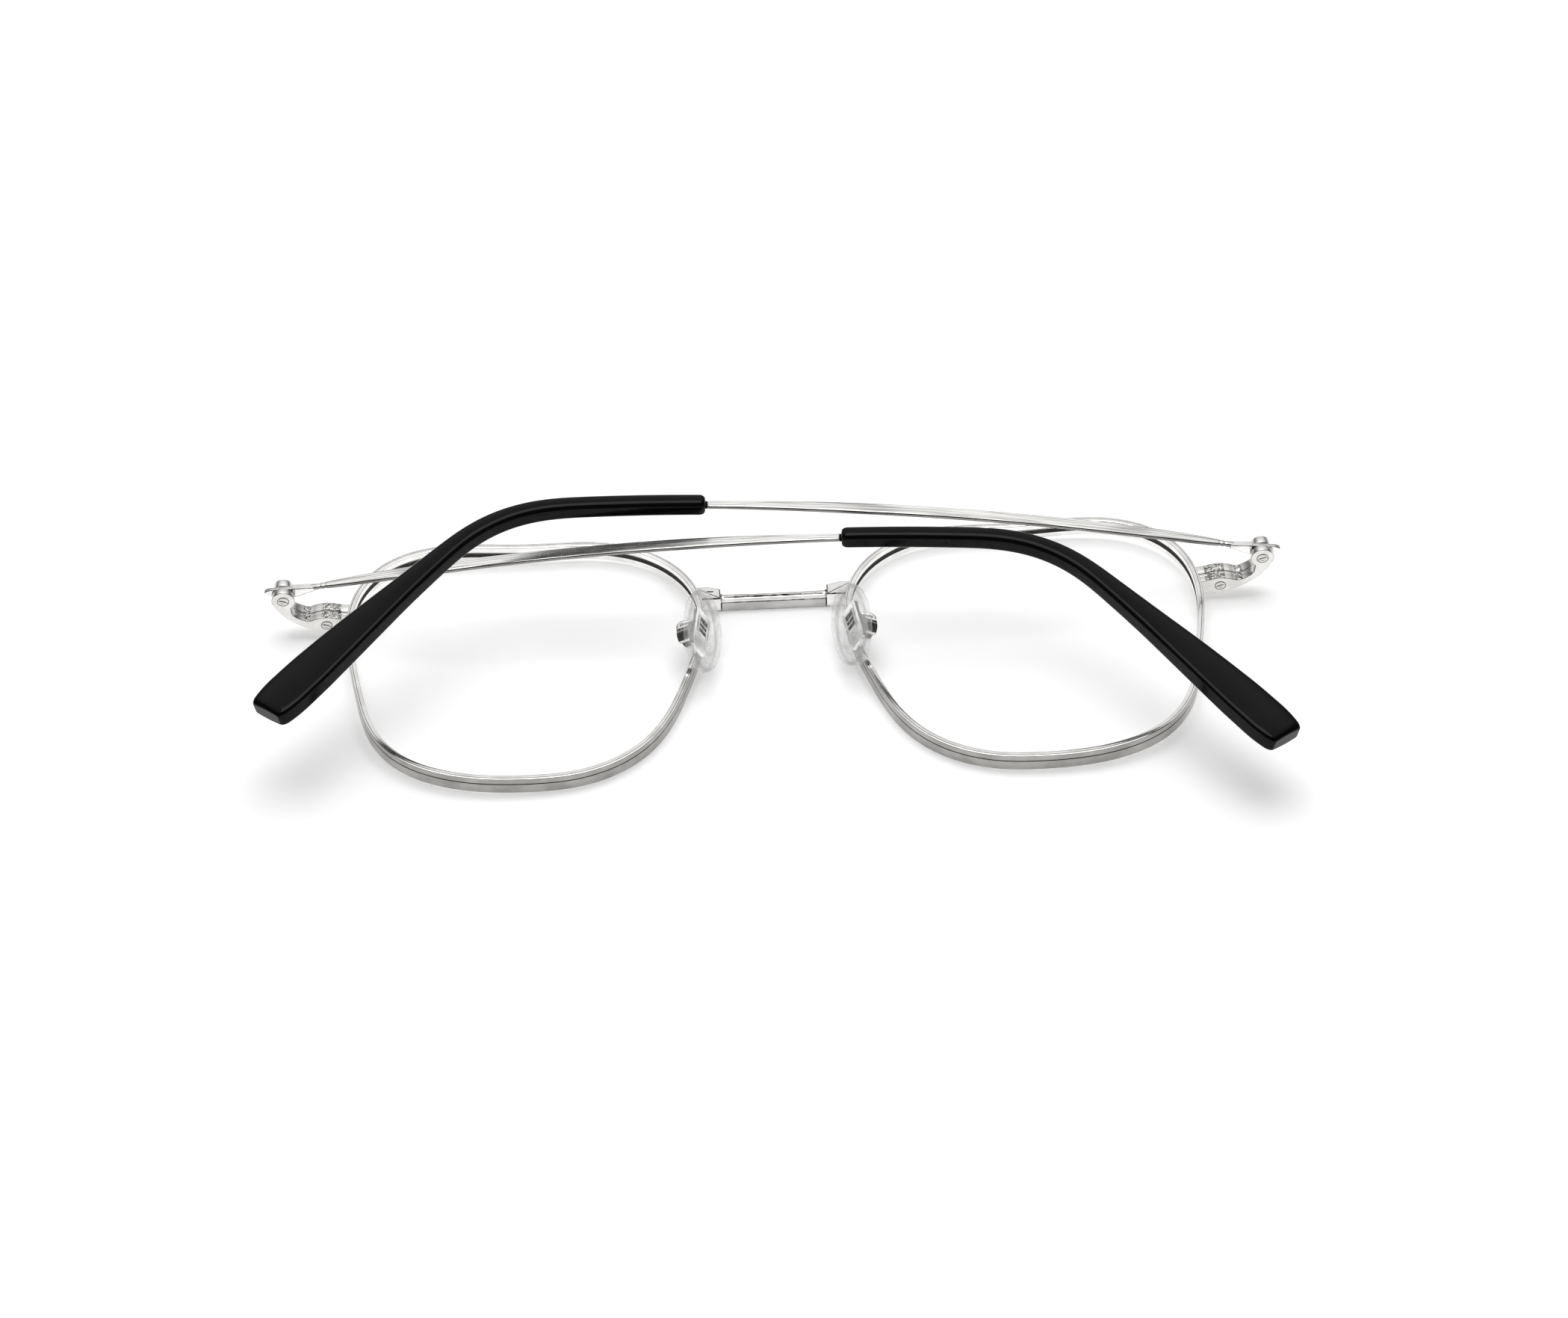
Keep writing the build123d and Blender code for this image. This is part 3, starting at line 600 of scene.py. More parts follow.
bar_half = BRIDGE_BAR_HEIGHT / 2
bar_x = np.sin(np.linspace(-np.pi / 2, np.pi / 2, BAR_STATIONS)) * (BRIDGE_BAR_HALF + BAR_BURIED)
bar_flat = np.array([bar_section(x) for x in bar_x])
bar_places = np.broadcast_to(bar_x[:, None, None], (*bar_flat.shape[:2], 1))
bar_solid = tube(np.concatenate([bar_places, bar_flat], -1))
# a corner of the section has the quads of its arc and then a flat: 0 is bright, 1 satin and 2 painted edge
# shade
ARC_MATERIALS = [2, 0, 2, 0, 0, 0, 0, 2]
FLAT_MATERIALS = [0, 0, 1, 0, 0, 0, 0, 1]
STREAK_CORNER = 3
bar_row = []
for arc, flat in zip(ARC_MATERIALS, FLAT_MATERIALS):
    bar_row += [arc] * (CORNER_QUADS - 1) + [flat]
bar_quads = np.tile(bar_row, (BAR_STATIONS - 1, 1))
# part of the channel's upper slope is painted as a dark streak of shade
bar_middle = (bar_x[1:] + bar_x[:-1]) / 2
in_streak = (bar_middle > STREAK_START) & (bar_middle < STREAK_END)
bar_quads[in_streak, (STREAK_CORNER + 1) * CORNER_QUADS - 1] = 2
bar_indices = np.concatenate([bar_quads.ravel(), [0, 0]])
block_low = -bar_half - BLOCK_FOOT_DROP
block_top = bar_half + BLOCK_TOP_RISE
# the block reaches into the rim's wall as far out as the rim's line at its foot and at its top
in_block = (rim_line[:, 1] > block_low) & (rim_line[:, 1] < block_top)
nasal = rim_line[in_block & (rim_line[:, 0] < RIM_CENTRE_X)]
nasal = nasal[np.argsort(-nasal[:, 1])]
block_corners = [
    (BRIDGE_BAR_HALF, bar_half + BLOCK_SHOULDER_RISE),
    (BRIDGE_BAR_HALF, block_low),
    (nasal[-1, 0] + BLOCK_BURIED, block_low),
    (nasal[0, 0] + BLOCK_BURIED, block_top),
    (BRIDGE_BAR_HALF + BLOCK_SHOULDER_REACH, block_top),
]
block_outline = rounded(block_corners, FINE_EDGE * 3)
block_rear = BLOCK_FRONT_Z + BLOCK_DEPTH
block_form = prism(block_outline, BLOCK_FRONT_Z, block_rear, EDGE * 1.6, ORIGIN, X_WAY, Y_WAY, Z_WAY)
collar_top = bar_half + BAR_WAIST + COLLAR_PROUD
collar_foot = -bar_half - COLLAR_PROUD
collar_corners = [
    (BRIDGE_BAR_HALF - COLLAR_WIDTH, collar_top),
    (BRIDGE_BAR_HALF - COLLAR_WIDTH, collar_foot),
    (BRIDGE_BAR_HALF + COLLAR_WIDTH, collar_foot),
    (BRIDGE_BAR_HALF + COLLAR_WIDTH, collar_top),
]
collar_outline = rounded(collar_corners, FINE_EDGE * 2)
collar_rear = BRIDGE_BAR_DEPTH + COLLAR_PROUD
collar_form = prism(collar_outline, EDGE, collar_rear, FINE_EDGE * 2, ORIGIN, X_WAY, Y_WAY, Z_WAY)
# a small slot with round ends on the rear of the left block: a thin plate in painted shade, standing for
# the slot's hollow
slot_outline = box_outline(BLOCK_SLOT_LENGTH, BLOCK_SLOT_WIDTH, BLOCK_SLOT_WIDTH * 0.45, 4)
slot_outline = slot_outline + BLOCK_SLOT_PLACE
slot_top = block_rear + FINE_EDGE / 4
slot_mark = prism(slot_outline, block_rear - EDGE, slot_top, FINE_EDGE / 4, ORIGIN, X_WAY, Y_WAY, Z_WAY)
left_forms = (flipped(block_form), flipped(collar_form))
bridge_solid = joined(bar_solid, block_form, collar_form, *left_forms, slot_mark)
# the blocks' rounded edges and the slot take painted edge shade, and the collars are dark seams
block_indices = prism_indices(block_outline, 2, 0, 2, 0)
collar_indices = prism_indices(collar_outline, 2, 2, 2, 2)
slot_indices = prism_indices(slot_outline, 2, 2, 2, 2)
make_piece(
    "bridge_bar", "front_frame", bridge_solid, [BRIGHT, BAR_SATIN, EDGE_SHADE_AND_SEAM],
    ["bridge"],
    indices=np.concatenate([bar_indices] + [block_indices, collar_indices] * 2 + [slot_indices])
)


# Endpieces
# Each is cast in two halves, one over the other with a fine gap, that the closing screw draws
# together round the lens. Both run out in an S to the hinge's knuckles, with rough panels behind.
ENDPIECE_HEIGHT = 3.05
ENDPIECE_CENTRE_Y = -1.275
ENDPIECE_PROUD = 0.356
ENDPIECE_DEPTH = 2.5
HALF_GAP = 0.04
HINGE_REACH = 8.25
HINGE_RISE = 6.42
LOWER_KNUCKLE_RADIUS = 1.58
UPPER_KNUCKLE_RADIUS = 1.34
LOWER_KNUCKLE_HEIGHT = 1.0
TONGUE_THICKNESS = 0.6
WASHER_THICKNESS = 0.06
SEAT_GAP = 0.02
KNUCKLE_POCKET = 0.12
TAIL_SWEEP_RADIUS = 2.74
POCKET_INNER_REACH = 0.6
FRONT_OUTLINE_SHARES = [
    (-0.080, -0.005), (0.020, 0.000), (0.320, 0.070), (0.620, 0.190), (0.830, 0.350),
    (1.000, 0.545), (1.130, 0.790),
]
REAR_OUTLINE_SHARES = [
    (0.890, 0.374), (0.867, 0.215), (0.750, 0.072), (0.610, 0.006), (0.467, 0.056), (0.310, 0.083),
    (0.000, 0.000), (-0.080, -0.005),
]
PANEL_RANGES = [(0.55, 3.25), (4.75, 5.75)]
PANEL_LOWEST = 2.0
FRONT_COUNT = 60
REAR_COUNT = 90
KNUCKLE_COUNT = 60
WIDE_COUNT = 10
NEAR_COUNT = 6
EDGE_UPRIGHT_SHARE = 0.2
FLAT_UPRIGHT_SHARE = 0.98
ENDPIECE_BRUSHING = (0.35, 0.12, 0.12)
CAST_GRAIN = (0.16, 0.16, 0.16)
CAST_BLOTS = (0.42, 0.3, 0.42)
CAST_BUMP = 0.05
ENDPIECE_FRONT_Z = curve_height(RIM_OUTER_X, ENDPIECE_CENTRE_Y) - ENDPIECE_PROUD
HINGE = np.array([RIM_OUTER_X + HINGE_REACH, ENDPIECE_CENTRE_Y, ENDPIECE_FRONT_Z + HINGE_RISE])
half_height = ENDPIECE_HEIGHT / 2
lower_knuckle_top = LOWER_KNUCKLE_HEIGHT - ENDPIECE_HEIGHT / 2
tongue_bottom = lower_knuckle_top + WASHER_THICKNESS + SEAT_GAP
tongue_top = tongue_bottom + TONGUE_THICKNESS
upper_knuckle_bottom = tongue_top + SEAT_GAP + WASHER_THICKNESS


def cast_metal():
    """The rough, dark-mottled panels on the rear of the endpieces."""
    shader = finish("cast_panel", Metallic=1.0)
    grain = shader.noise(CAST_GRAIN, 4.0)
    blots = shader.noise(CAST_BLOTS, 3.0)
    mottle = (grain * 0.6 + blots * 0.4).above(0.43, 0.56)
    colour = mottle.tint((0.05, 0.049, 0.047), (0.72, 0.71, 0.69))
    shader.set(Base_Color=colour, Roughness=mottle.mix(0.55, 0.3))
    shader.bump(grain, CAST_BUMP)
    return shader.holder


PLAIN_SATIN = satin_metal("endpiece_satin", ENDPIECE_BRUSHING, (0.60, 0.588, 0.57), (0.72, 0.71, 0.695))
CAST = cast_metal()


def open_spline(points, count):
    """Points along an open curve whose slope at a given point is that of its neighbours."""
    steps = np.linalg.norm(np.diff(points, axis=0), axis=1)
    starts = np.concatenate([[0], np.cumsum(steps)])
    slopes = np.gradient(points, starts, axis=0)
    places = np.linspace(0, starts[-1], count)
    return hermite(points, slopes, steps, places, np.arange(1, len(points)))


def around_hinge(radius, first, last, count):
    """Points on a circle round the hinge's axis, in X and Z, between two angles."""
    angles = np.linspace(first, last, count)[:, None]
    return HINGE[[0, 2]] + radius * np.concatenate([np.cos(angles), np.sin(angles)], -1)


def endpiece_outline(knuckle_radius=None):
    """The outline of a half in X and Z, with a knuckle or cut short of the hinge's pocket.

    The curves of the front and the rear stop a little outside the knuckle's circle, and an arc
    joins them. Without a knuckle the arc runs the other way round, in two steps: far from the axis
    on the outer side, where the temple's tail sweeps past, and near it from there on.
    """
    pocket_radius = LOWER_KNUCKLE_RADIUS + KNUCKLE_POCKET
    curves = []
    for shares, lift, count, reach in (
        (FRONT_OUTLINE_SHARES, 0, FRONT_COUNT, knuckle_radius or TAIL_SWEEP_RADIUS),
        (REAR_OUTLINE_SHARES, ENDPIECE_DEPTH, REAR_COUNT, knuckle_radius or pocket_radius),
    ):
        places = np.array(shares) * (HINGE_REACH, HINGE_RISE) + (RIM_OUTER_X, ENDPIECE_FRONT_Z + lift)
        curve = open_spline(places, count)
        curves.append(curve[np.linalg.norm(curve - HINGE[[0, 2]], axis=1) > reach + FINE_EDGE])
    front, rear = curves
    front = front[front[:, 1] < HINGE[2]]
    first = np.arctan2(*(front[-1] - HINGE[[0, 2]])[::-1])
    last = np.arctan2(*(rear[0] - HINGE[[0, 2]])[::-1])
    if knuckle_radius:
        last = last + 2 * np.pi if last < first else last
        arc = around_hinge(knuckle_radius, first, last, KNUCKLE_COUNT)[1:-1]
        return np.concatenate([front, arc, rear])
    last = last - 2 * np.pi if last > first else last
    wide_end = -np.pi / 2 - np.arcsin(POCKET_INNER_REACH / TAIL_SWEEP_RADIUS)
    near_start = -np.pi / 2 - np.arcsin(POCKET_INNER_REACH / pocket_radius)
    wide = around_hinge(TAIL_SWEEP_RADIUS, first, wide_end, WIDE_COUNT)[1:]
    near = around_hinge(pocket_radius, near_start, last, NEAR_COUNT)[:-1]
    return np.concatenate([front, wide, near, rear])


def half_solid(knuckle_radius, knuckle_span, arm_span):
    """A half of the endpiece: a slab with its knuckle, and one that leaves room for the tongue.

    Heights are from the middle, up the face. The outline is placed by X and Z, so a slab's own
    heights run down.
    """
    origin = Y_WAY * ENDPIECE_CENTRE_Y
    slabs = []
    for radius, (low, high) in ((knuckle_radius, knuckle_span), (None, arm_span)):
        outline = endpiece_outline(radius)
        slabs.append(prism(outline, -high, -low, EDGE / 2, origin, X_WAY, Z_WAY, -Y_WAY))
    return joined(*slabs)


def panel_indices(solid):
    """1 for each quad on a rear wall within a cast panel, 2 for rounded edges in painted shade, and 0
    elsewhere.
    """
    points, faces = solid
    is_quad = np.array([len(face) == 4 for face in faces])
    corners = points[np.array([face for face in faces if len(face) == 4])]
    upright = np.abs(unit(np.cross(corners[:, 1] - corners[:, 0], corners[:, 2] - corners[:, 1]))[:, 1])
    reach, _, height = (corners.mean(1) - (RIM_OUTER_X, 0, ENDPIECE_FRONT_Z)).T
    in_panel = np.zeros(len(reach), bool)
    for low, high in PANEL_RANGES:
        in_panel |= (reach > low) & (reach < high) & (height > PANEL_LOWEST)
    tests = [upright >= FLAT_UPRIGHT_SHARE, upright > EDGE_UPRIGHT_SHARE, in_panel]
    indices = np.zeros(len(faces), int)
    indices[is_quad] = np.select(tests, [0, 2, 1], 0)
    return indices


lower_solid = half_solid(
    LOWER_KNUCKLE_RADIUS, (-half_height, lower_knuckle_top), (lower_knuckle_top - EDGE, -HALF_GAP / 2)
)
upper_solid = half_solid(
    UPPER_KNUCKLE_RADIUS, (upper_knuckle_bottom, half_height), (HALF_GAP / 2, upper_knuckle_bottom + EDGE)
)
for side, hand in HANDS:
    for level, solid in (("lower", lower_solid), ("upper", upper_solid)):
        make_piece(
            f"{side}_endpiece_{level}_half", "front_frame", solid, [PLAIN_SATIN, CAST, EDGE_SHADE_AND_SEAM],
            [f"{side}_endpiece_{level}"], hand, panel_indices(solid)
        )


# Screws
# Turned steel screws with slotted, slightly dished heads. One is the hinge's pin and the other
# closes the rim. Each head stands just proud of the endpiece's bottom face, in a ring of painted shade.
CLOSING_SCREW_REACH = 2.65
CLOSING_SCREW_RISE = 1.64
HINGE_HEAD_RADIUS = 0.76
CLOSING_HEAD_RADIUS = 0.72
HEAD_PROUD = 0.05
HEAD_ROUND = 0.12
HEAD_GAP = 0.06
HEAD_DISH = 0.12
SLOT_WIDTH = 0.16
SHANK_RADIUS = 0.45
SCREW_LENGTH = 2.4
SLOT_TURN = np.radians(20.0)
HEAD_AROUND = 48


def screw_solid(place, radius):
    """A head on its shank, its slot as a bar and the ring round it both in painted shade, with material
    numbers.

    The profile gives the radius and the height along the axis of each ring of the turned form.
    """
    across = np.array([-np.cos(SLOT_TURN), 0, -np.sin(SLOT_TURN)])
    up = np.array([-np.sin(SLOT_TURN), 0, np.cos(SLOT_TURN)])
    angles = np.linspace(0, 2 * np.pi, HEAD_AROUND, endpoint=False)[:, None]
    circle = np.cos(angles) * across + np.sin(angles) * up
    profile = np.array(
        [
            (SHANK_RADIUS, -SCREW_LENGTH),
            (SHANK_RADIUS, -HEAD_ROUND * 2),
            (radius, -HEAD_ROUND * 2),
            (radius, HEAD_PROUD - HEAD_ROUND),
            (radius - HEAD_ROUND / 3, HEAD_PROUD - HEAD_ROUND / 3),
            (radius - HEAD_ROUND, HEAD_PROUD),
            (radius * 0.55, HEAD_PROUD),
            (radius * 0.45, HEAD_PROUD - HEAD_DISH),
        ]
    )
    gap_profile = np.array([(radius + HEAD_GAP, FINE_EDGE / 2), (radius - HEAD_GAP * 0.2, FINE_EDGE / 2)])
    turned = []
    for pairs in (profile, gap_profile):
        turned.append(tube(place + pairs[:, :1, None] * circle - pairs[:, 1:, None] * Y_WAY))
    head, (ring_points, ring_faces) = turned
    slot_outline = box_outline(radius * 1.8, SLOT_WIDTH, SLOT_WIDTH / 3, 4)
    slot_top = HEAD_PROUD + FINE_EDGE / 4
    slot = prism(slot_outline, HEAD_PROUD - HEAD_DISH, slot_top, FINE_EDGE / 4, place, across, up, -Y_WAY)
    indices = [0] * len(head[1]) + [1] * len(slot[1]) + [2] * (len(ring_faces) - 2)
    return joined(head, slot, (ring_points, ring_faces[:-2])), indices


bottom_y = ENDPIECE_CENTRE_Y - half_height
closing_x = RIM_OUTER_X + CLOSING_SCREW_REACH
closing_z = ENDPIECE_FRONT_Z + CLOSING_SCREW_RISE
screws = (
    ("hinge", np.array([HINGE[0], bottom_y, HINGE[2]]), HINGE_HEAD_RADIUS),
    ("closing", np.array([closing_x, bottom_y, closing_z]), CLOSING_HEAD_RADIUS),
)
for kind, place, radius in screws:
    solid, indices = screw_solid(place, radius)
    for side, hand in HANDS:
        make_piece(
            f"{side}_{kind}_screw_head", "front_frame", solid, [PLAIN_SATIN, EDGE_SHADE_AND_SEAM, PAINTED_GAP_SHADE],
            [f"{side}_{kind}_screw"], hand, indices
        )


# Temple strips
# Each temple is a flat strip of drawn metal, crimped where it leaves the head and bowed outwards on
# its way to the tip. The temple's line then runs inwards and bends down behind the ear.
HINGE_LEAN = np.radians(1.4)
TEMPLE_LEADS = {1: np.radians(2.4), -1: np.radians(1.0)}
HEAD_HEIGHT = 0.97
STRIP_START_U = 2.6
STRIP_START_V = 0.78
STRIP_START_TURN = np.radians(11.5)
STRIP_LENGTH = 74.2
STRIP_DROOPS = {1: 0.0, -1: np.radians(1.5)}
STRIP_THICKNESS = 0.6
STRIP_HEIGHT = 1.85
STRIP_HEAD_HEIGHT = 0.76
STRIP_SEAT_LENGTH = 2.0
STRIP_STATION_SHARES = [0.067, 0.095, 0.122, 0.150, 0.180, 0.400, 0.600, 0.750, 0.880, 1.000]
STRIP_HEIGHT_SHARES = [0.660, 0.768, 0.838, 0.919, 0.973, 1.000, 1.000, 0.946, 0.784, 0.622]
STRIP_CORNER = 0.2
CRIMP_PLACES = [2.6, 3.3]
CRIMP_WIDTH = 0.18
CRIMP_DEPTH = 0.09
STRIP_FINE_LENGTH = 14.0
STRIP_FINE_COUNT = 110
STRIP_COARSE_COUNT = 90
STRIP_CURVE_COUNT = 400
TIP_LENGTH = 72.2
TIP_INWARD_RADIUS = 274.0
EAR_BEND_START = 16.3
EAR_BEND_LENGTH = 22.4
EAR_BEND_TURN = np.radians(47.4)
LINE_STEP = 0.1
STRIP_STREAKS = (11.0, 1.2, 0.3)
STRIP_SCRATCHES = (5.0, 0.8, 0.07)
STRIP_SMEARS = (16.0, 1.4, 0.7)
SCRATCH_BUMP = 0.008


def strip_metal():
    """Drawn strip: long brushed streaks, finer scratches and painted shade along the narrow edges."""
    shader = finish("strip_metal", Metallic=1.0)
    streaks = shader.noise(STRIP_STREAKS, 3.0, "along")
    scratches = shader.noise(STRIP_SCRATCHES, 2.0, "along")
    smears = shader.noise(STRIP_SMEARS, 2.0, "along").above(0.54, 0.7)
    height = shader.add("SeparateXYZ", {}, {"Vector": shader.own("along")}, "Z")
    # painted shade: the colour darkens towards the strip's top and bottom edges
    edge = (height * height).above(0.62, 0.84)
    shine = (streaks * 0.7 + scratches * 0.3).above(0.36, 0.56).mix(0.38, 1.0) * (1 - smears * 0.6)
    colour = (shine * (1 - edge * 0.9)).tint((0.16, 0.156, 0.15), (0.93, 0.925, 0.905))
    shader.set(Base_Color=colour, Roughness=scratches.mix(0.12, 0.3))
    shader.bump(scratches, SCRATCH_BUMP)
    return shader.holder


STRIP_METAL = strip_metal()


def temple_axes(hand):
    """Directions along a folded temple, outwards and up it, for its hinge at the given hand."""
    lead = TEMPLE_LEADS[hand]
    level = np.array([-np.cos(HINGE_LEAN), np.sin(HINGE_LEAN), 0]) * hand
    along = level * np.cos(lead) + Z_WAY * np.sin(lead)
    up = np.array([np.sin(HINGE_LEAN), np.cos(HINGE_LEAN), 0])
    return along, np.cross(up, along) * hand, up


def temple_line(hand, runs):
    """Centres, side directions and up directions of the temple's line at some distances.

    The line turns outwards at first and less and less along the strip, then inwards on a circle
    behind the ear, where it also drops with an eased share of the ear bend. Its places are the sum
    of short steps in that direction.
    """
    along, out, up = temple_axes(hand)

    def directions(run):
        turn = np.where(
            run < STRIP_LENGTH,
            STRIP_START_TURN * (1 - run / STRIP_LENGTH),
            -(run - STRIP_LENGTH) / TIP_INWARD_RADIUS,
        )[:, None]
        share = np.clip((run - STRIP_LENGTH - EAR_BEND_START) / EAR_BEND_LENGTH, 0, 1)[:, None]
        drop = STRIP_DROOPS[hand] + EAR_BEND_TURN * share**2 * (3 - 2 * share)
        forward = along * np.cos(turn) + out * np.sin(turn)
        heading = forward * np.cos(drop) - up * np.sin(drop)
        side_way = out * np.cos(turn) - along * np.sin(turn)
        return heading, side_way, forward * np.sin(drop) + up * np.cos(drop)

    start = HINGE * (hand, 1, 1) + along * STRIP_START_U + out * STRIP_START_V
    start = start + up * (tongue_bottom + HEAD_HEIGHT / 2)
    middle = np.arange(LINE_STEP / 2, STRIP_LENGTH + TIP_LENGTH, LINE_STEP)
    steps = np.cumsum(directions(middle)[0] * LINE_STEP, 0)
    places = np.concatenate([start[None], start + steps])
    marks = np.concatenate([[0], middle + LINE_STEP / 2])
    centres = np.stack([np.interp(runs, marks, places[:, axis]) for axis in range(3)], -1)
    return centres, *directions(runs)[1:]


def carried(hand, runs, sections):
    """A solid of sections, each outwards and upwards, along the temple's line, and its own places."""
    centres, side_way, rise_way = temple_line(hand, runs)
    rings = centres[:, None] + sections[..., :1] * side_way[:, None] + sections[..., 1:] * rise_way[:, None]
    own = np.concatenate([np.broadcast_to(runs[:, None, None], (*sections.shape[:2], 1)), sections], -1)
    points, faces = tube(rings)
    return (points, turned_inside_out(faces) if hand < 0 else faces), own


fine_runs = np.linspace(0, STRIP_FINE_LENGTH, STRIP_FINE_COUNT)
coarse_runs = np.linspace(STRIP_FINE_LENGTH, STRIP_LENGTH, STRIP_COARSE_COUNT)[1:]
strip_runs = np.concatenate([fine_runs, coarse_runs])
strip_stations = [(0, STRIP_HEAD_HEIGHT), (STRIP_SEAT_LENGTH, STRIP_HEAD_HEIGHT)]
for place, share in zip(STRIP_STATION_SHARES, STRIP_HEIGHT_SHARES):
    strip_stations.append((place * STRIP_LENGTH, share * STRIP_HEIGHT))
strip_curve = open_spline(np.array(strip_stations), STRIP_CURVE_COUNT)
strip_heights = np.interp(strip_runs, *strip_curve.T)
# a crimp pinches both sizes by a bell curve round its place
crimps = [CRIMP_DEPTH * np.exp(-(((strip_runs - place) / CRIMP_WIDTH) ** 2)) for place in CRIMP_PLACES]
pinches = sum(crimps)
strip_sections = []
for pinch, high in zip(pinches, strip_heights):
    strip_sections.append(box_outline(STRIP_THICKNESS - pinch, high - pinch, STRIP_CORNER))
strip_halves = np.ones((len(strip_runs), 1, 3))
strip_halves[:, 0, 1] = STRIP_THICKNESS / 2
strip_halves[:, 0, 2] = strip_heights / 2
for side, hand in HANDS:
    solid, own = carried(hand, strip_runs, np.array(strip_sections))
    # the strip's own places: distance along it, then shares of its half thickness and half height
    make_piece(
        f"{side}_temple_strip", f"{side}_temple_arm", solid, [STRIP_METAL],
        [f"{side}_temple"], along=(own / strip_halves).reshape(-1, 3)
    )


# Tips
# A sleeve of black acetate pushed over the temple's core wire: nearly round at its mouth, broad and
# flat behind the ear, with crowned faces and rounded ends.
TIP_WIDTH = 6.63
TIP_THICKNESS = 2.93
TIP_SIZE_SHARES = [
    (0.000, 0.354, 0.860), (0.030, 0.356, 0.861), (0.120, 0.362, 0.867), (0.300, 0.376, 0.881),
    (0.420, 0.400, 0.893), (0.500, 0.431, 0.902), (0.580, 0.510, 0.915), (0.650, 0.607, 0.928),
    (0.720, 0.733, 0.945), (0.780, 0.837, 0.959), (0.830, 0.912, 0.972), (0.880, 0.979, 0.986),
    (0.920, 0.998, 0.996), (0.950, 1.000, 1.000), (0.980, 0.935, 0.980), (1.000, 0.837, 0.940),
]
TIP_END_ROUND = 1.0
TIP_END_SIDE_SHARE = 0.5
TIP_MOUTH_ROUND = 0.8
TIP_MOUTH_SIDE_SHARE = 0.7
TIP_CORNER = 0.55
TIP_CROWN_SHARE = 0.2
TIP_CURVE_COUNT = 600
TIP_COUNT = 120
TIP_END_COUNT = 8
TIP_CORNER_POINTS = 9
TIP_FACE_STEPS = 12
ACETATE_STREAKS = (9.0, 0.5, 0.5)
ACETATE_CLOUD = (4.0, 4.0, 4.0)


def black_acetate():
    """Glossy black plastic, with faint rubbed streaks along it."""
    shader = finish("black_acetate", IOR=1.49, Specular_IOR_Level=0.1)
    streaks = shader.noise(ACETATE_STREAKS, 3.0, "along")
    cloud = shader.noise(ACETATE_CLOUD)
    shader.set(
        Base_Color=cloud.tint((0.002, 0.002, 0.002), (0.005, 0.005, 0.006)),
        Roughness=(streaks * cloud).mix(0.08, 0.24),
    )
    shader.bump(streaks, POLISH_BUMP)
    return shader.holder


def tip_section(thick, wide, radius):
    """A rounded box with crowned broad faces: they fall away with the square of the height."""
    box = box_outline(thick, wide, radius, TIP_CORNER_POINTS - 1)
    shares = np.linspace(0, 1, TIP_FACE_STEPS + 1)[1:-1, None]
    half = 2 * TIP_CORNER_POINTS
    outer_face = box[half - 1] * (1 - shares) + box[half] * shares
    inner_face = box[-1] * (1 - shares) + box[0] * shares
    ring = np.concatenate([box[:half], outer_face, box[half:], inner_face])
    ring[:, 0] *= 1 - TIP_CROWN_SHARE * (ring[:, 1] / (wide / 2)) ** 2
    return ring


ACETATE = black_acetate()
tip_curve = open_spline(np.array(TIP_SIZE_SHARES) * (TIP_LENGTH, TIP_WIDTH, TIP_THICKNESS), TIP_CURVE_COUNT)
# both ends are rounded by a quarter circle, on which the distance and the inset are worked out
angles = np.linspace(0, np.pi / 2, TIP_END_COUNT)
mouth_runs = TIP_MOUTH_ROUND * (1 - np.cos(angles[:-1]))
middle_runs = np.linspace(TIP_MOUTH_ROUND, TIP_LENGTH - TIP_END_ROUND, TIP_COUNT)
end_runs = TIP_LENGTH - TIP_END_ROUND * (1 - np.sin(angles[1:]))
tip_runs = np.concatenate([mouth_runs, middle_runs, end_runs])
mouth_insets = TIP_MOUTH_ROUND * (1 - np.sin(angles[:-1]))
end_insets = TIP_END_ROUND * (1 - np.cos(angles[1:]))
tip_insets = np.concatenate([mouth_insets, np.zeros(TIP_COUNT), end_insets])
tip_sections = []
for run, inset in zip(tip_runs, tip_insets):
    side_share = TIP_MOUTH_SIDE_SHARE if run < TIP_LENGTH / 2 else TIP_END_SIDE_SHARE
    wide = np.interp(run, tip_curve[:, 0], tip_curve[:, 1]) - inset * side_share * 2
    thick = np.interp(run, tip_curve[:, 0], tip_curve[:, 2]) - inset * side_share * 2
    tip_sections.append(tip_section(thick, wide, max(TIP_CORNER - inset / 2, TIP_CORNER / 4)))
for side, hand in HANDS:
    solid, own = carried(hand, STRIP_LENGTH + tip_runs, np.array(tip_sections))
    make_piece(
        f"{side}_tip_sleeve", f"{side}_temple_arm", solid, [ACETATE],
        [f"{side}_temple_tip"], along=own.reshape(-1, 3)
    )


# Temple heads
# A flat tongue that turns between the knuckles, with a tail past the barrel, and a block with a
# shoulder that holds the strip. Both are stamped from one piece of bright metal.
TAIL_REACH = 2.55
TAIL_OUTLINE_SHARES = [(0.000, 0.510), (-0.690, 0.450), (-0.900, 0.373), (-1.000, 0.294), (-0.700, -0.008)]
HEAD_REACH = 4.4
HEAD_OUTLINE_SHARES = [
    (0.300, -0.068), (0.600, 0.000), (0.722, 0.086), (0.910, 0.159), (1.000, 0.170),
    (1.000, 0.305), (0.300, 0.295),
]
TONGUE_RADIUS = 1.4
TONGUE_ARC = np.radians([185, 350])
TONGUE_ARC_COUNT = 24
tail_points = np.array(TAIL_OUTLINE_SHARES) * TAIL_REACH
head_points = np.array(HEAD_OUTLINE_SHARES) * HEAD_REACH
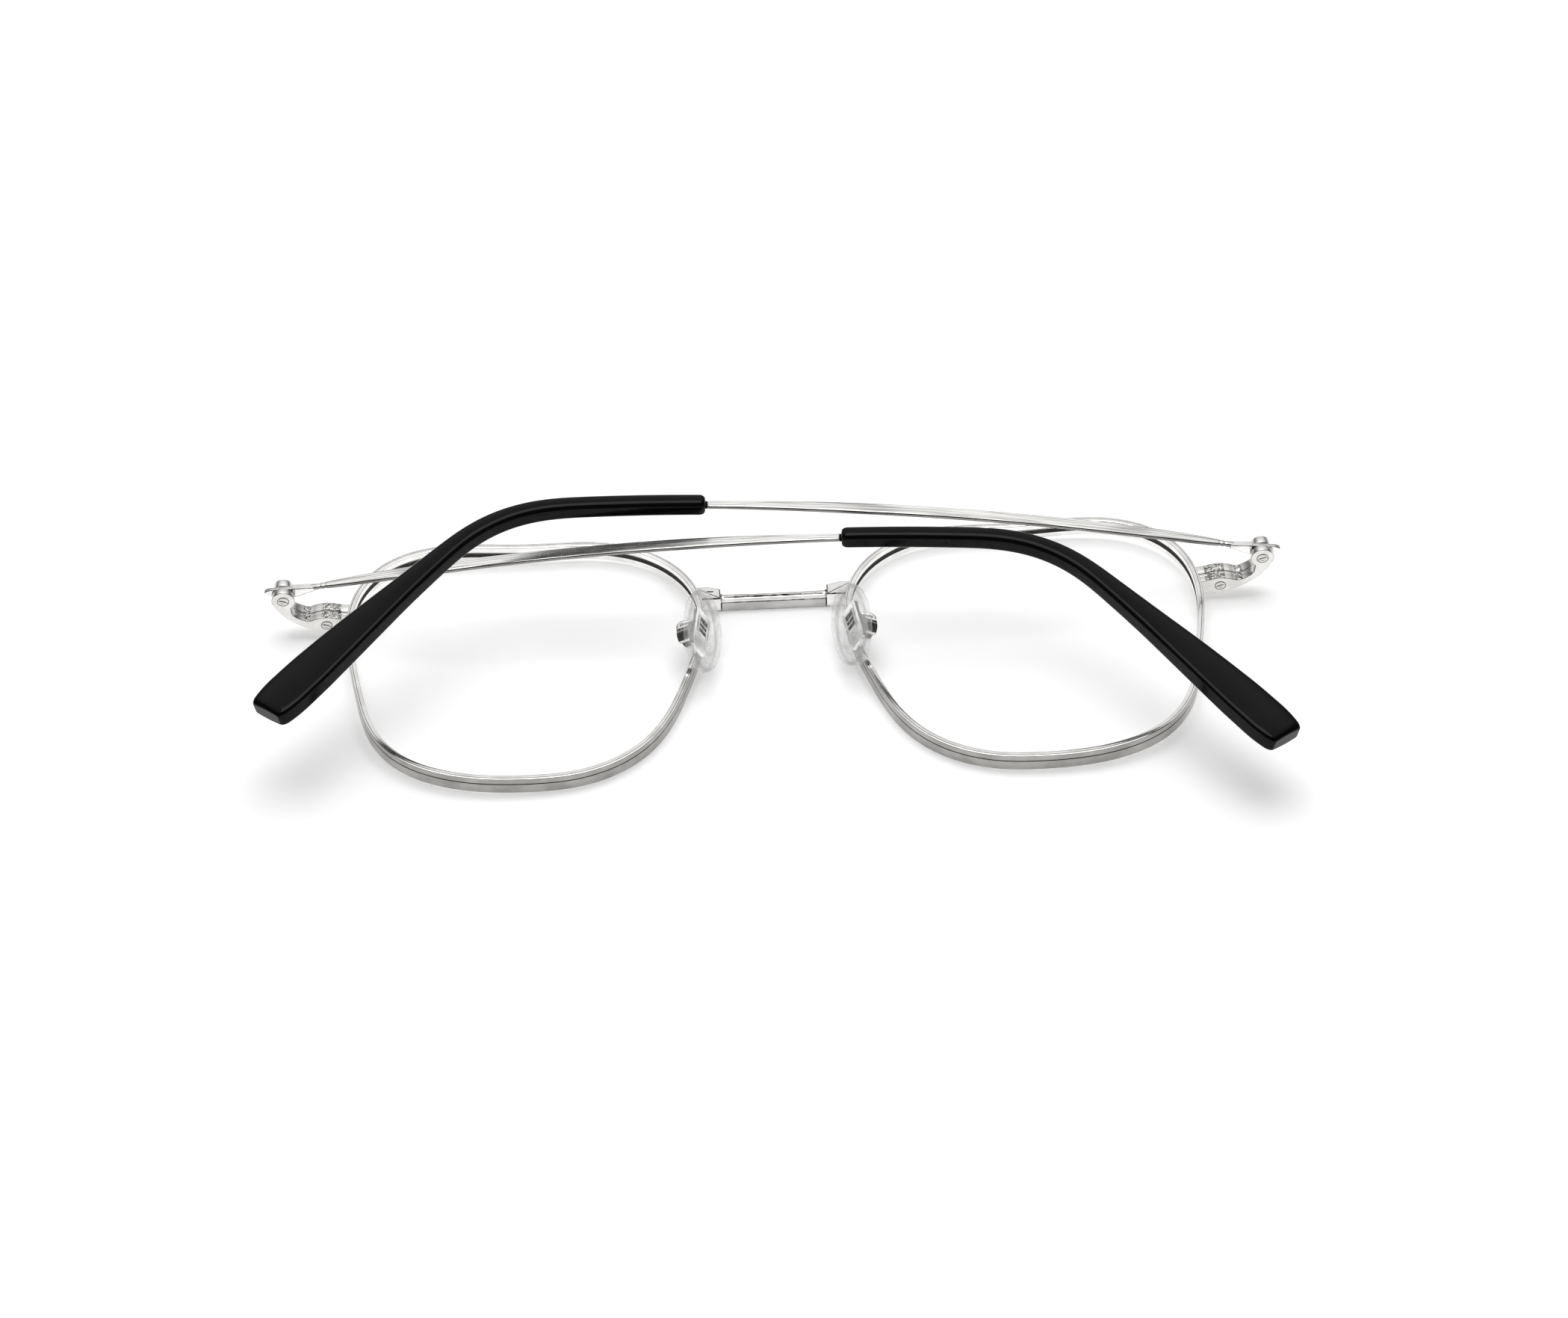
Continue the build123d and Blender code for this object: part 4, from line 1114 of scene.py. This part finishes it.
arc_angles = np.linspace(*TONGUE_ARC, TONGUE_ARC_COUNT)
tongue_points = np.concatenate(
    [
        tail_points[:4],
        TONGUE_RADIUS * np.stack([np.cos(arc_angles), np.sin(arc_angles)], -1),
        [head_points[0], (head_points[-1][0], tail_points[0][1])],
    ]
)
# the tail's end is rounded, and the rest has crisp corners
tongue_radii = np.full(len(tongue_points), FINE_EDGE)
tongue_radii[1:4] = (EDGE * 2, EDGE, EDGE)
tongue_outline = rounded(tongue_points, tongue_radii, 3)
head_outline = rounded(head_points, FINE_EDGE * 3)
# the lower rounded edges of tongue and block take painted edge shade, and the upper ones stay bright
tongue_indices = prism_indices(tongue_outline, 2, 1, 0, 0)
head_indices = np.concatenate([tongue_indices, prism_indices(head_outline, 2, 0, 0, 0)])
head_top = tongue_bottom + HEAD_HEIGHT
for side, hand in HANDS:
    axes = temple_axes(hand)
    place = HINGE * (hand, 1, 1)
    tongue = prism(tongue_outline, tongue_bottom, tongue_top, EDGE * 0.6, place, *axes)
    block = prism(head_outline, tongue_bottom, head_top, EDGE * 0.8, place, *axes)
    make_piece(
        f"{side}_temple_tongue", f"{side}_temple_arm", joined(tongue, block),
        [BRIGHT, BAR_SATIN, EDGE_SHADE_AND_SEAM], [f"{side}_temple_head"],
        indices=head_indices
    )


# Nose pads
# Soft clear ovals moulded round a metal plate, whose small barred window shows through the plastic.
# The plate clips to the cup of the pad arm, and the pad rocks on the screw there.
PAD_CENTRE = np.array([10.1, -11.195, 6.5])
PAD_LENGTH = 14.4
PAD_WIDTH = 8.6
PAD_THICKNESS = 2.0
PAD_TOP_LEAN = np.radians(8.0)
PAD_SPLAY = np.radians(30.0)
PLATE_THICKNESS = 0.5
PLATE_COVER = 0.35
PAD_ROWS = 40
PAD_AROUND = 72
PAD_POWER = 2.6
WINDOW_LENGTH = 2.9
WINDOW_WIDTH = 1.9
WINDOW_LIFT = 0.8
WINDOW_BAR = 0.22
WINDOW_BAR_SHARES = [-0.5, -0.18, 0.12, 0.5]
WINDOW_GROUND = 0.06
WINDOW_HEIGHT = 0.16
MOULD_STREAKS = (2.6, 0.5, 2.6)
MOULD_BUMP = 0.12


def clear_silicone():
    """Clear soft plastic with moulding streaks, and painted grey shade lines round its outline and plate.

    The reach is 1 on the oval: the length of the place's shares of half the pad's two sizes.
    """
    shader = finish("clear_silicone", IOR=1.41)
    streaks = shader.noise(MOULD_STREAKS, 3.0, "along")
    halves = (2 / PAD_LENGTH, 2 / PAD_WIDTH, 0)
    shares = shader.add("VectorMath", {"operation": "MULTIPLY"}, {0: shader.own("along"), 1: halves})
    reach = shader.add("VectorMath", {"operation": "LENGTH"}, {0: shares}, "Value")
    # both rings are painted shade: grey lines where the clear plastic's edges look dark
    outline_ring = reach.above(0.86, 0.93) * reach.above(1.0, 0.95)
    plate_ring = reach.above(0.52, 0.56) * reach.above(0.66, 0.60)
    shader.set(
        Base_Color=(outline_ring * 0.5 + plate_ring * 0.4).tint((1.0, 1.0, 1.0), (0.2, 0.2, 0.2)),
        Roughness=streaks.mix(0.04, 0.2),
        Alpha=streaks.above(0.42, 0.64) * 0.2 + outline_ring * 0.34 + plate_ring * 0.14 + 0.1,
    )
    shader.bump(streaks, MOULD_BUMP)
    return shader.holder


SILICONE = clear_silicone()
long_way = np.array([-np.sin(PAD_TOP_LEAN), np.cos(PAD_TOP_LEAN), 0])
back_way = unit(np.cross(long_way, (np.sin(PAD_SPLAY), 0, np.cos(PAD_SPLAY))))
wide_way = np.cross(back_way, long_way)
# a flattened ball: its rings follow a superellipse whose power makes the rim of the pad fuller
level = np.linspace(-np.pi / 2, np.pi / 2, PAD_ROWS)[1:-1, None]
around = np.linspace(0, 2 * np.pi, PAD_AROUND, endpoint=False)
ring_reach = np.cos(level) ** (2 / PAD_POWER)
ring_height = np.sign(np.sin(level)) * np.abs(np.sin(level)) ** (2 / PAD_POWER)
oval = np.broadcast_arrays(ring_reach * np.cos(around), ring_reach * np.sin(around), ring_height)
oval = np.stack(oval, -1) * (PAD_LENGTH / 2, PAD_WIDTH / 2, PAD_THICKNESS / 2)
pad_solid = tube(PAD_CENTRE + oval @ np.array([long_way, wide_way, back_way]))
# the window stands on the plate's nose side: a ground in painted shade, then bars across it and along it
plate_front = PAD_CENTRE + back_way * (PAD_THICKNESS / 2 - PLATE_COVER - PLATE_THICKNESS)
plate_front = plate_front + long_way * WINDOW_LIFT
window_forms = [((0, 0), (WINDOW_LENGTH, WINDOW_WIDTH), EDGE, WINDOW_GROUND, 1)]
for share in WINDOW_BAR_SHARES:
    bar = ((WINDOW_LENGTH * share, 0), (WINDOW_BAR, WINDOW_WIDTH))
    window_forms.append((*bar, FINE_EDGE, WINDOW_HEIGHT, 0))
for share in (-0.5, 0.5):
    bar = ((0, WINDOW_WIDTH * share), (WINDOW_LENGTH + WINDOW_BAR, WINDOW_BAR))
    window_forms.append((*bar, FINE_EDGE, WINDOW_HEIGHT, 0))
window_parts = []
window_numbers = []
for place, sizes, corner, height, number in window_forms:
    form = box_outline(*sizes, corner) + place
    window_parts.append(prism(form, 0, height, FINE_EDGE, plate_front, long_way, wide_way, -back_way))
    window_numbers.append(prism_indices(form, number, number, number, number))
for side, hand in HANDS:
    make_piece(
        f"{side}_pad_oval", f"{side}_pad", pad_solid, [SILICONE],
        [f"{side}_nose_pad"], hand, along=oval.reshape(-1, 3)
    )
    make_piece(
        f"{side}_pad_window", f"{side}_pad", joined(*window_parts), [BRIGHT, PAINTED_GAP_SHADE],
        hand=hand, indices=np.concatenate(window_numbers)
    )


# Pad arms, plates, screws and washers
# Small bent and turned metal pieces, shown as the part's own solids. Arms and screws are bright, the
# plates are pale under the plastic, and the washers between the knuckles are painted near-black shade.
PLATE_CLOUD = (1.4, 1.1, 1.4)


def pearly_metal():
    """The pale plate inside a pad."""
    shader = finish("pearly_metal", Metallic=0.85)
    cloud = shader.noise(PLATE_CLOUD, 3.0)
    colour = cloud.above(0.35, 0.6).tint((0.78, 0.78, 0.77), (0.97, 0.97, 0.96))
    shader.set(Base_Color=colour, Roughness=cloud.mix(0.12, 0.3))
    return shader.holder


small_metals = {"pad_arm": BRIGHT, "pad_plate": pearly_metal(), "pad_screw": BRIGHT, "hinge_washers": PAINTED_GAP_SHADE}
for side, hand in HANDS:
    for node, metal in small_metals.items():
        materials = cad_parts[f"{side}_{node}"].data.materials
        materials.clear()
        materials.append(metal)


# Table
# A plain white table that keeps the glasses' soft shadows. It glows just enough to look white to
# the camera and in the metal, and the glow lights nothing.
FLOOR_HALF = 4000.0
TABLE_GLOW = 0.5
CAMERA_GLOW_SHARE = 0.62
TABLE_CLOUD = (90.0, 90.0, 90.0)
floor_mesh = bpy.data.meshes.new("table_top")
floor_corners = [(x, y, cad_bounds[0][2]) for x, y in UNIT_SQUARE * FLOOR_HALF * MM]
floor_mesh.from_pydata(floor_corners, [], [(0, 1, 2, 3)])
table_top = bpy.data.objects.new("table_top", floor_mesh)
bpy.context.collection.objects.link(table_top)
white = finish("white_table", Roughness=0.9, Emission_Strength=TABLE_GLOW)
seen = white.add("LightPath", {}, {}, "Is Camera Ray") * CAMERA_GLOW_SHARE
seen = seen + white.add("LightPath", {}, {}, "Is Glossy Ray")
seen = seen + white.add("LightPath", {}, {}, "Is Transmission Ray")
white.set(
    Base_Color=white.noise(TABLE_CLOUD).tint((0.93, 0.93, 0.93), (0.95, 0.95, 0.95)),
    Emission_Color=seen.tint((0.0, 0.0, 0.0), (1.0, 1.0, 1.0)),
)
floor_mesh.materials.append(white.holder)


# Light
# A broad soft sky high on the brow side, nearly dark everywhere else, and a large soft lamp
# overhead. A direction's nearness to the sky's centre is the cosine of the angle between them.
SKY_STRENGTH = 0.95
SKY_DARK = 0.05
SKY_CENTRE = (0.0, 0.5, 0.866)
SKY_STOPS = [(0.0, SKY_DARK), (0.6, SKY_DARK), (0.84, 1.0), (1.0, 1.0)]
LAMP_PLACE = (0, 150, 1000)
LAMP_LENGTH = 800
LAMP_WIDTH = 700
LAMP_POWER = 5.5


def facing(place, right, back):
    """The matrix of a lamp or camera at a place, with its right side and its back turned so."""
    turned = Matrix([right, np.cross(back, right), back]).transposed().to_4x4()
    turned.translation = np.array(place) * MM
    return turned


bpy.context.scene.world = bpy.data.worlds.new("studio")
sky = Shader(bpy.context.scene.world, "Background", Strength=SKY_STRENGTH)
directions = sky.add("TexCoord", {}, {}, "Generated")
nearness = sky.add("VectorMath", {"operation": "DOT_PRODUCT"}, {0: directions, 1: SKY_CENTRE}, "Value")
sky.set(Color=sky.add("ValToRGB", {"stops": ("EASE", SKY_STOPS)}, {0: nearness}))
lamp = bpy.data.lights.new("overhead_light", "AREA")
lamp.shape = "RECTANGLE"
lamp.size = LAMP_LENGTH * MM
lamp.size_y = LAMP_WIDTH * MM
lamp.energy = LAMP_POWER
overhead_light = bpy.data.objects.new("overhead_light", lamp)
bpy.context.collection.objects.link(overhead_light)
lamp_back = unit(np.array(LAMP_PLACE))
overhead_light.matrix_world = facing(LAMP_PLACE, unit(np.cross(Y_WAY, lamp_back)), lamp_back)


# Camera
# It stands where the photograph was taken from: turned, tilted and rolled about the frame's origin,
# which falls at a named pixel of the picture.
PHOTO_WIDTH = 2099
PHOTO_HEIGHT = 1764
CAMERA_AZIMUTH = np.radians(-2.044)
CAMERA_ELEVATION = np.radians(44.58)
CAMERA_ROLL = np.radians(-1.136)
CAMERA_DISTANCE = 759.3
ORIGIN_PIXEL = (1035.85, 809.7)
PIXELS_PER_MM = 9.719
SENSOR_WIDTH = 36.0
level_way = np.array([np.cos(CAMERA_AZIMUTH), np.sin(CAMERA_AZIMUTH), 0])
camera_back = Z_WAY * np.sin(CAMERA_ELEVATION) + np.cross(level_way, Z_WAY) * np.cos(CAMERA_ELEVATION)
above_way = np.cross(camera_back, level_way)
camera_right = np.cos(CAMERA_ROLL) * level_way + np.sin(CAMERA_ROLL) * above_way
camera_up = np.cross(camera_back, camera_right)
offset_right = (ORIGIN_PIXEL[0] - PHOTO_WIDTH / 2) / PIXELS_PER_MM
offset_up = (PHOTO_HEIGHT / 2 - ORIGIN_PIXEL[1]) / PIXELS_PER_MM
camera_place = camera_back * CAMERA_DISTANCE - camera_right * offset_right - camera_up * offset_up
camera = bpy.data.cameras.new("photo_camera")
camera.sensor_fit = "HORIZONTAL"
camera.sensor_width = SENSOR_WIDTH
camera.lens = SENSOR_WIDTH * PIXELS_PER_MM * CAMERA_DISTANCE / PHOTO_WIDTH
camera_holder = bpy.data.objects.new("photo_camera", camera)
bpy.context.collection.objects.link(camera_holder)
camera_holder.matrix_world = facing(camera_place, camera_right, camera_back)
bpy.context.scene.camera = camera_holder
bpy.context.scene.view_settings.view_transform = "Standard"
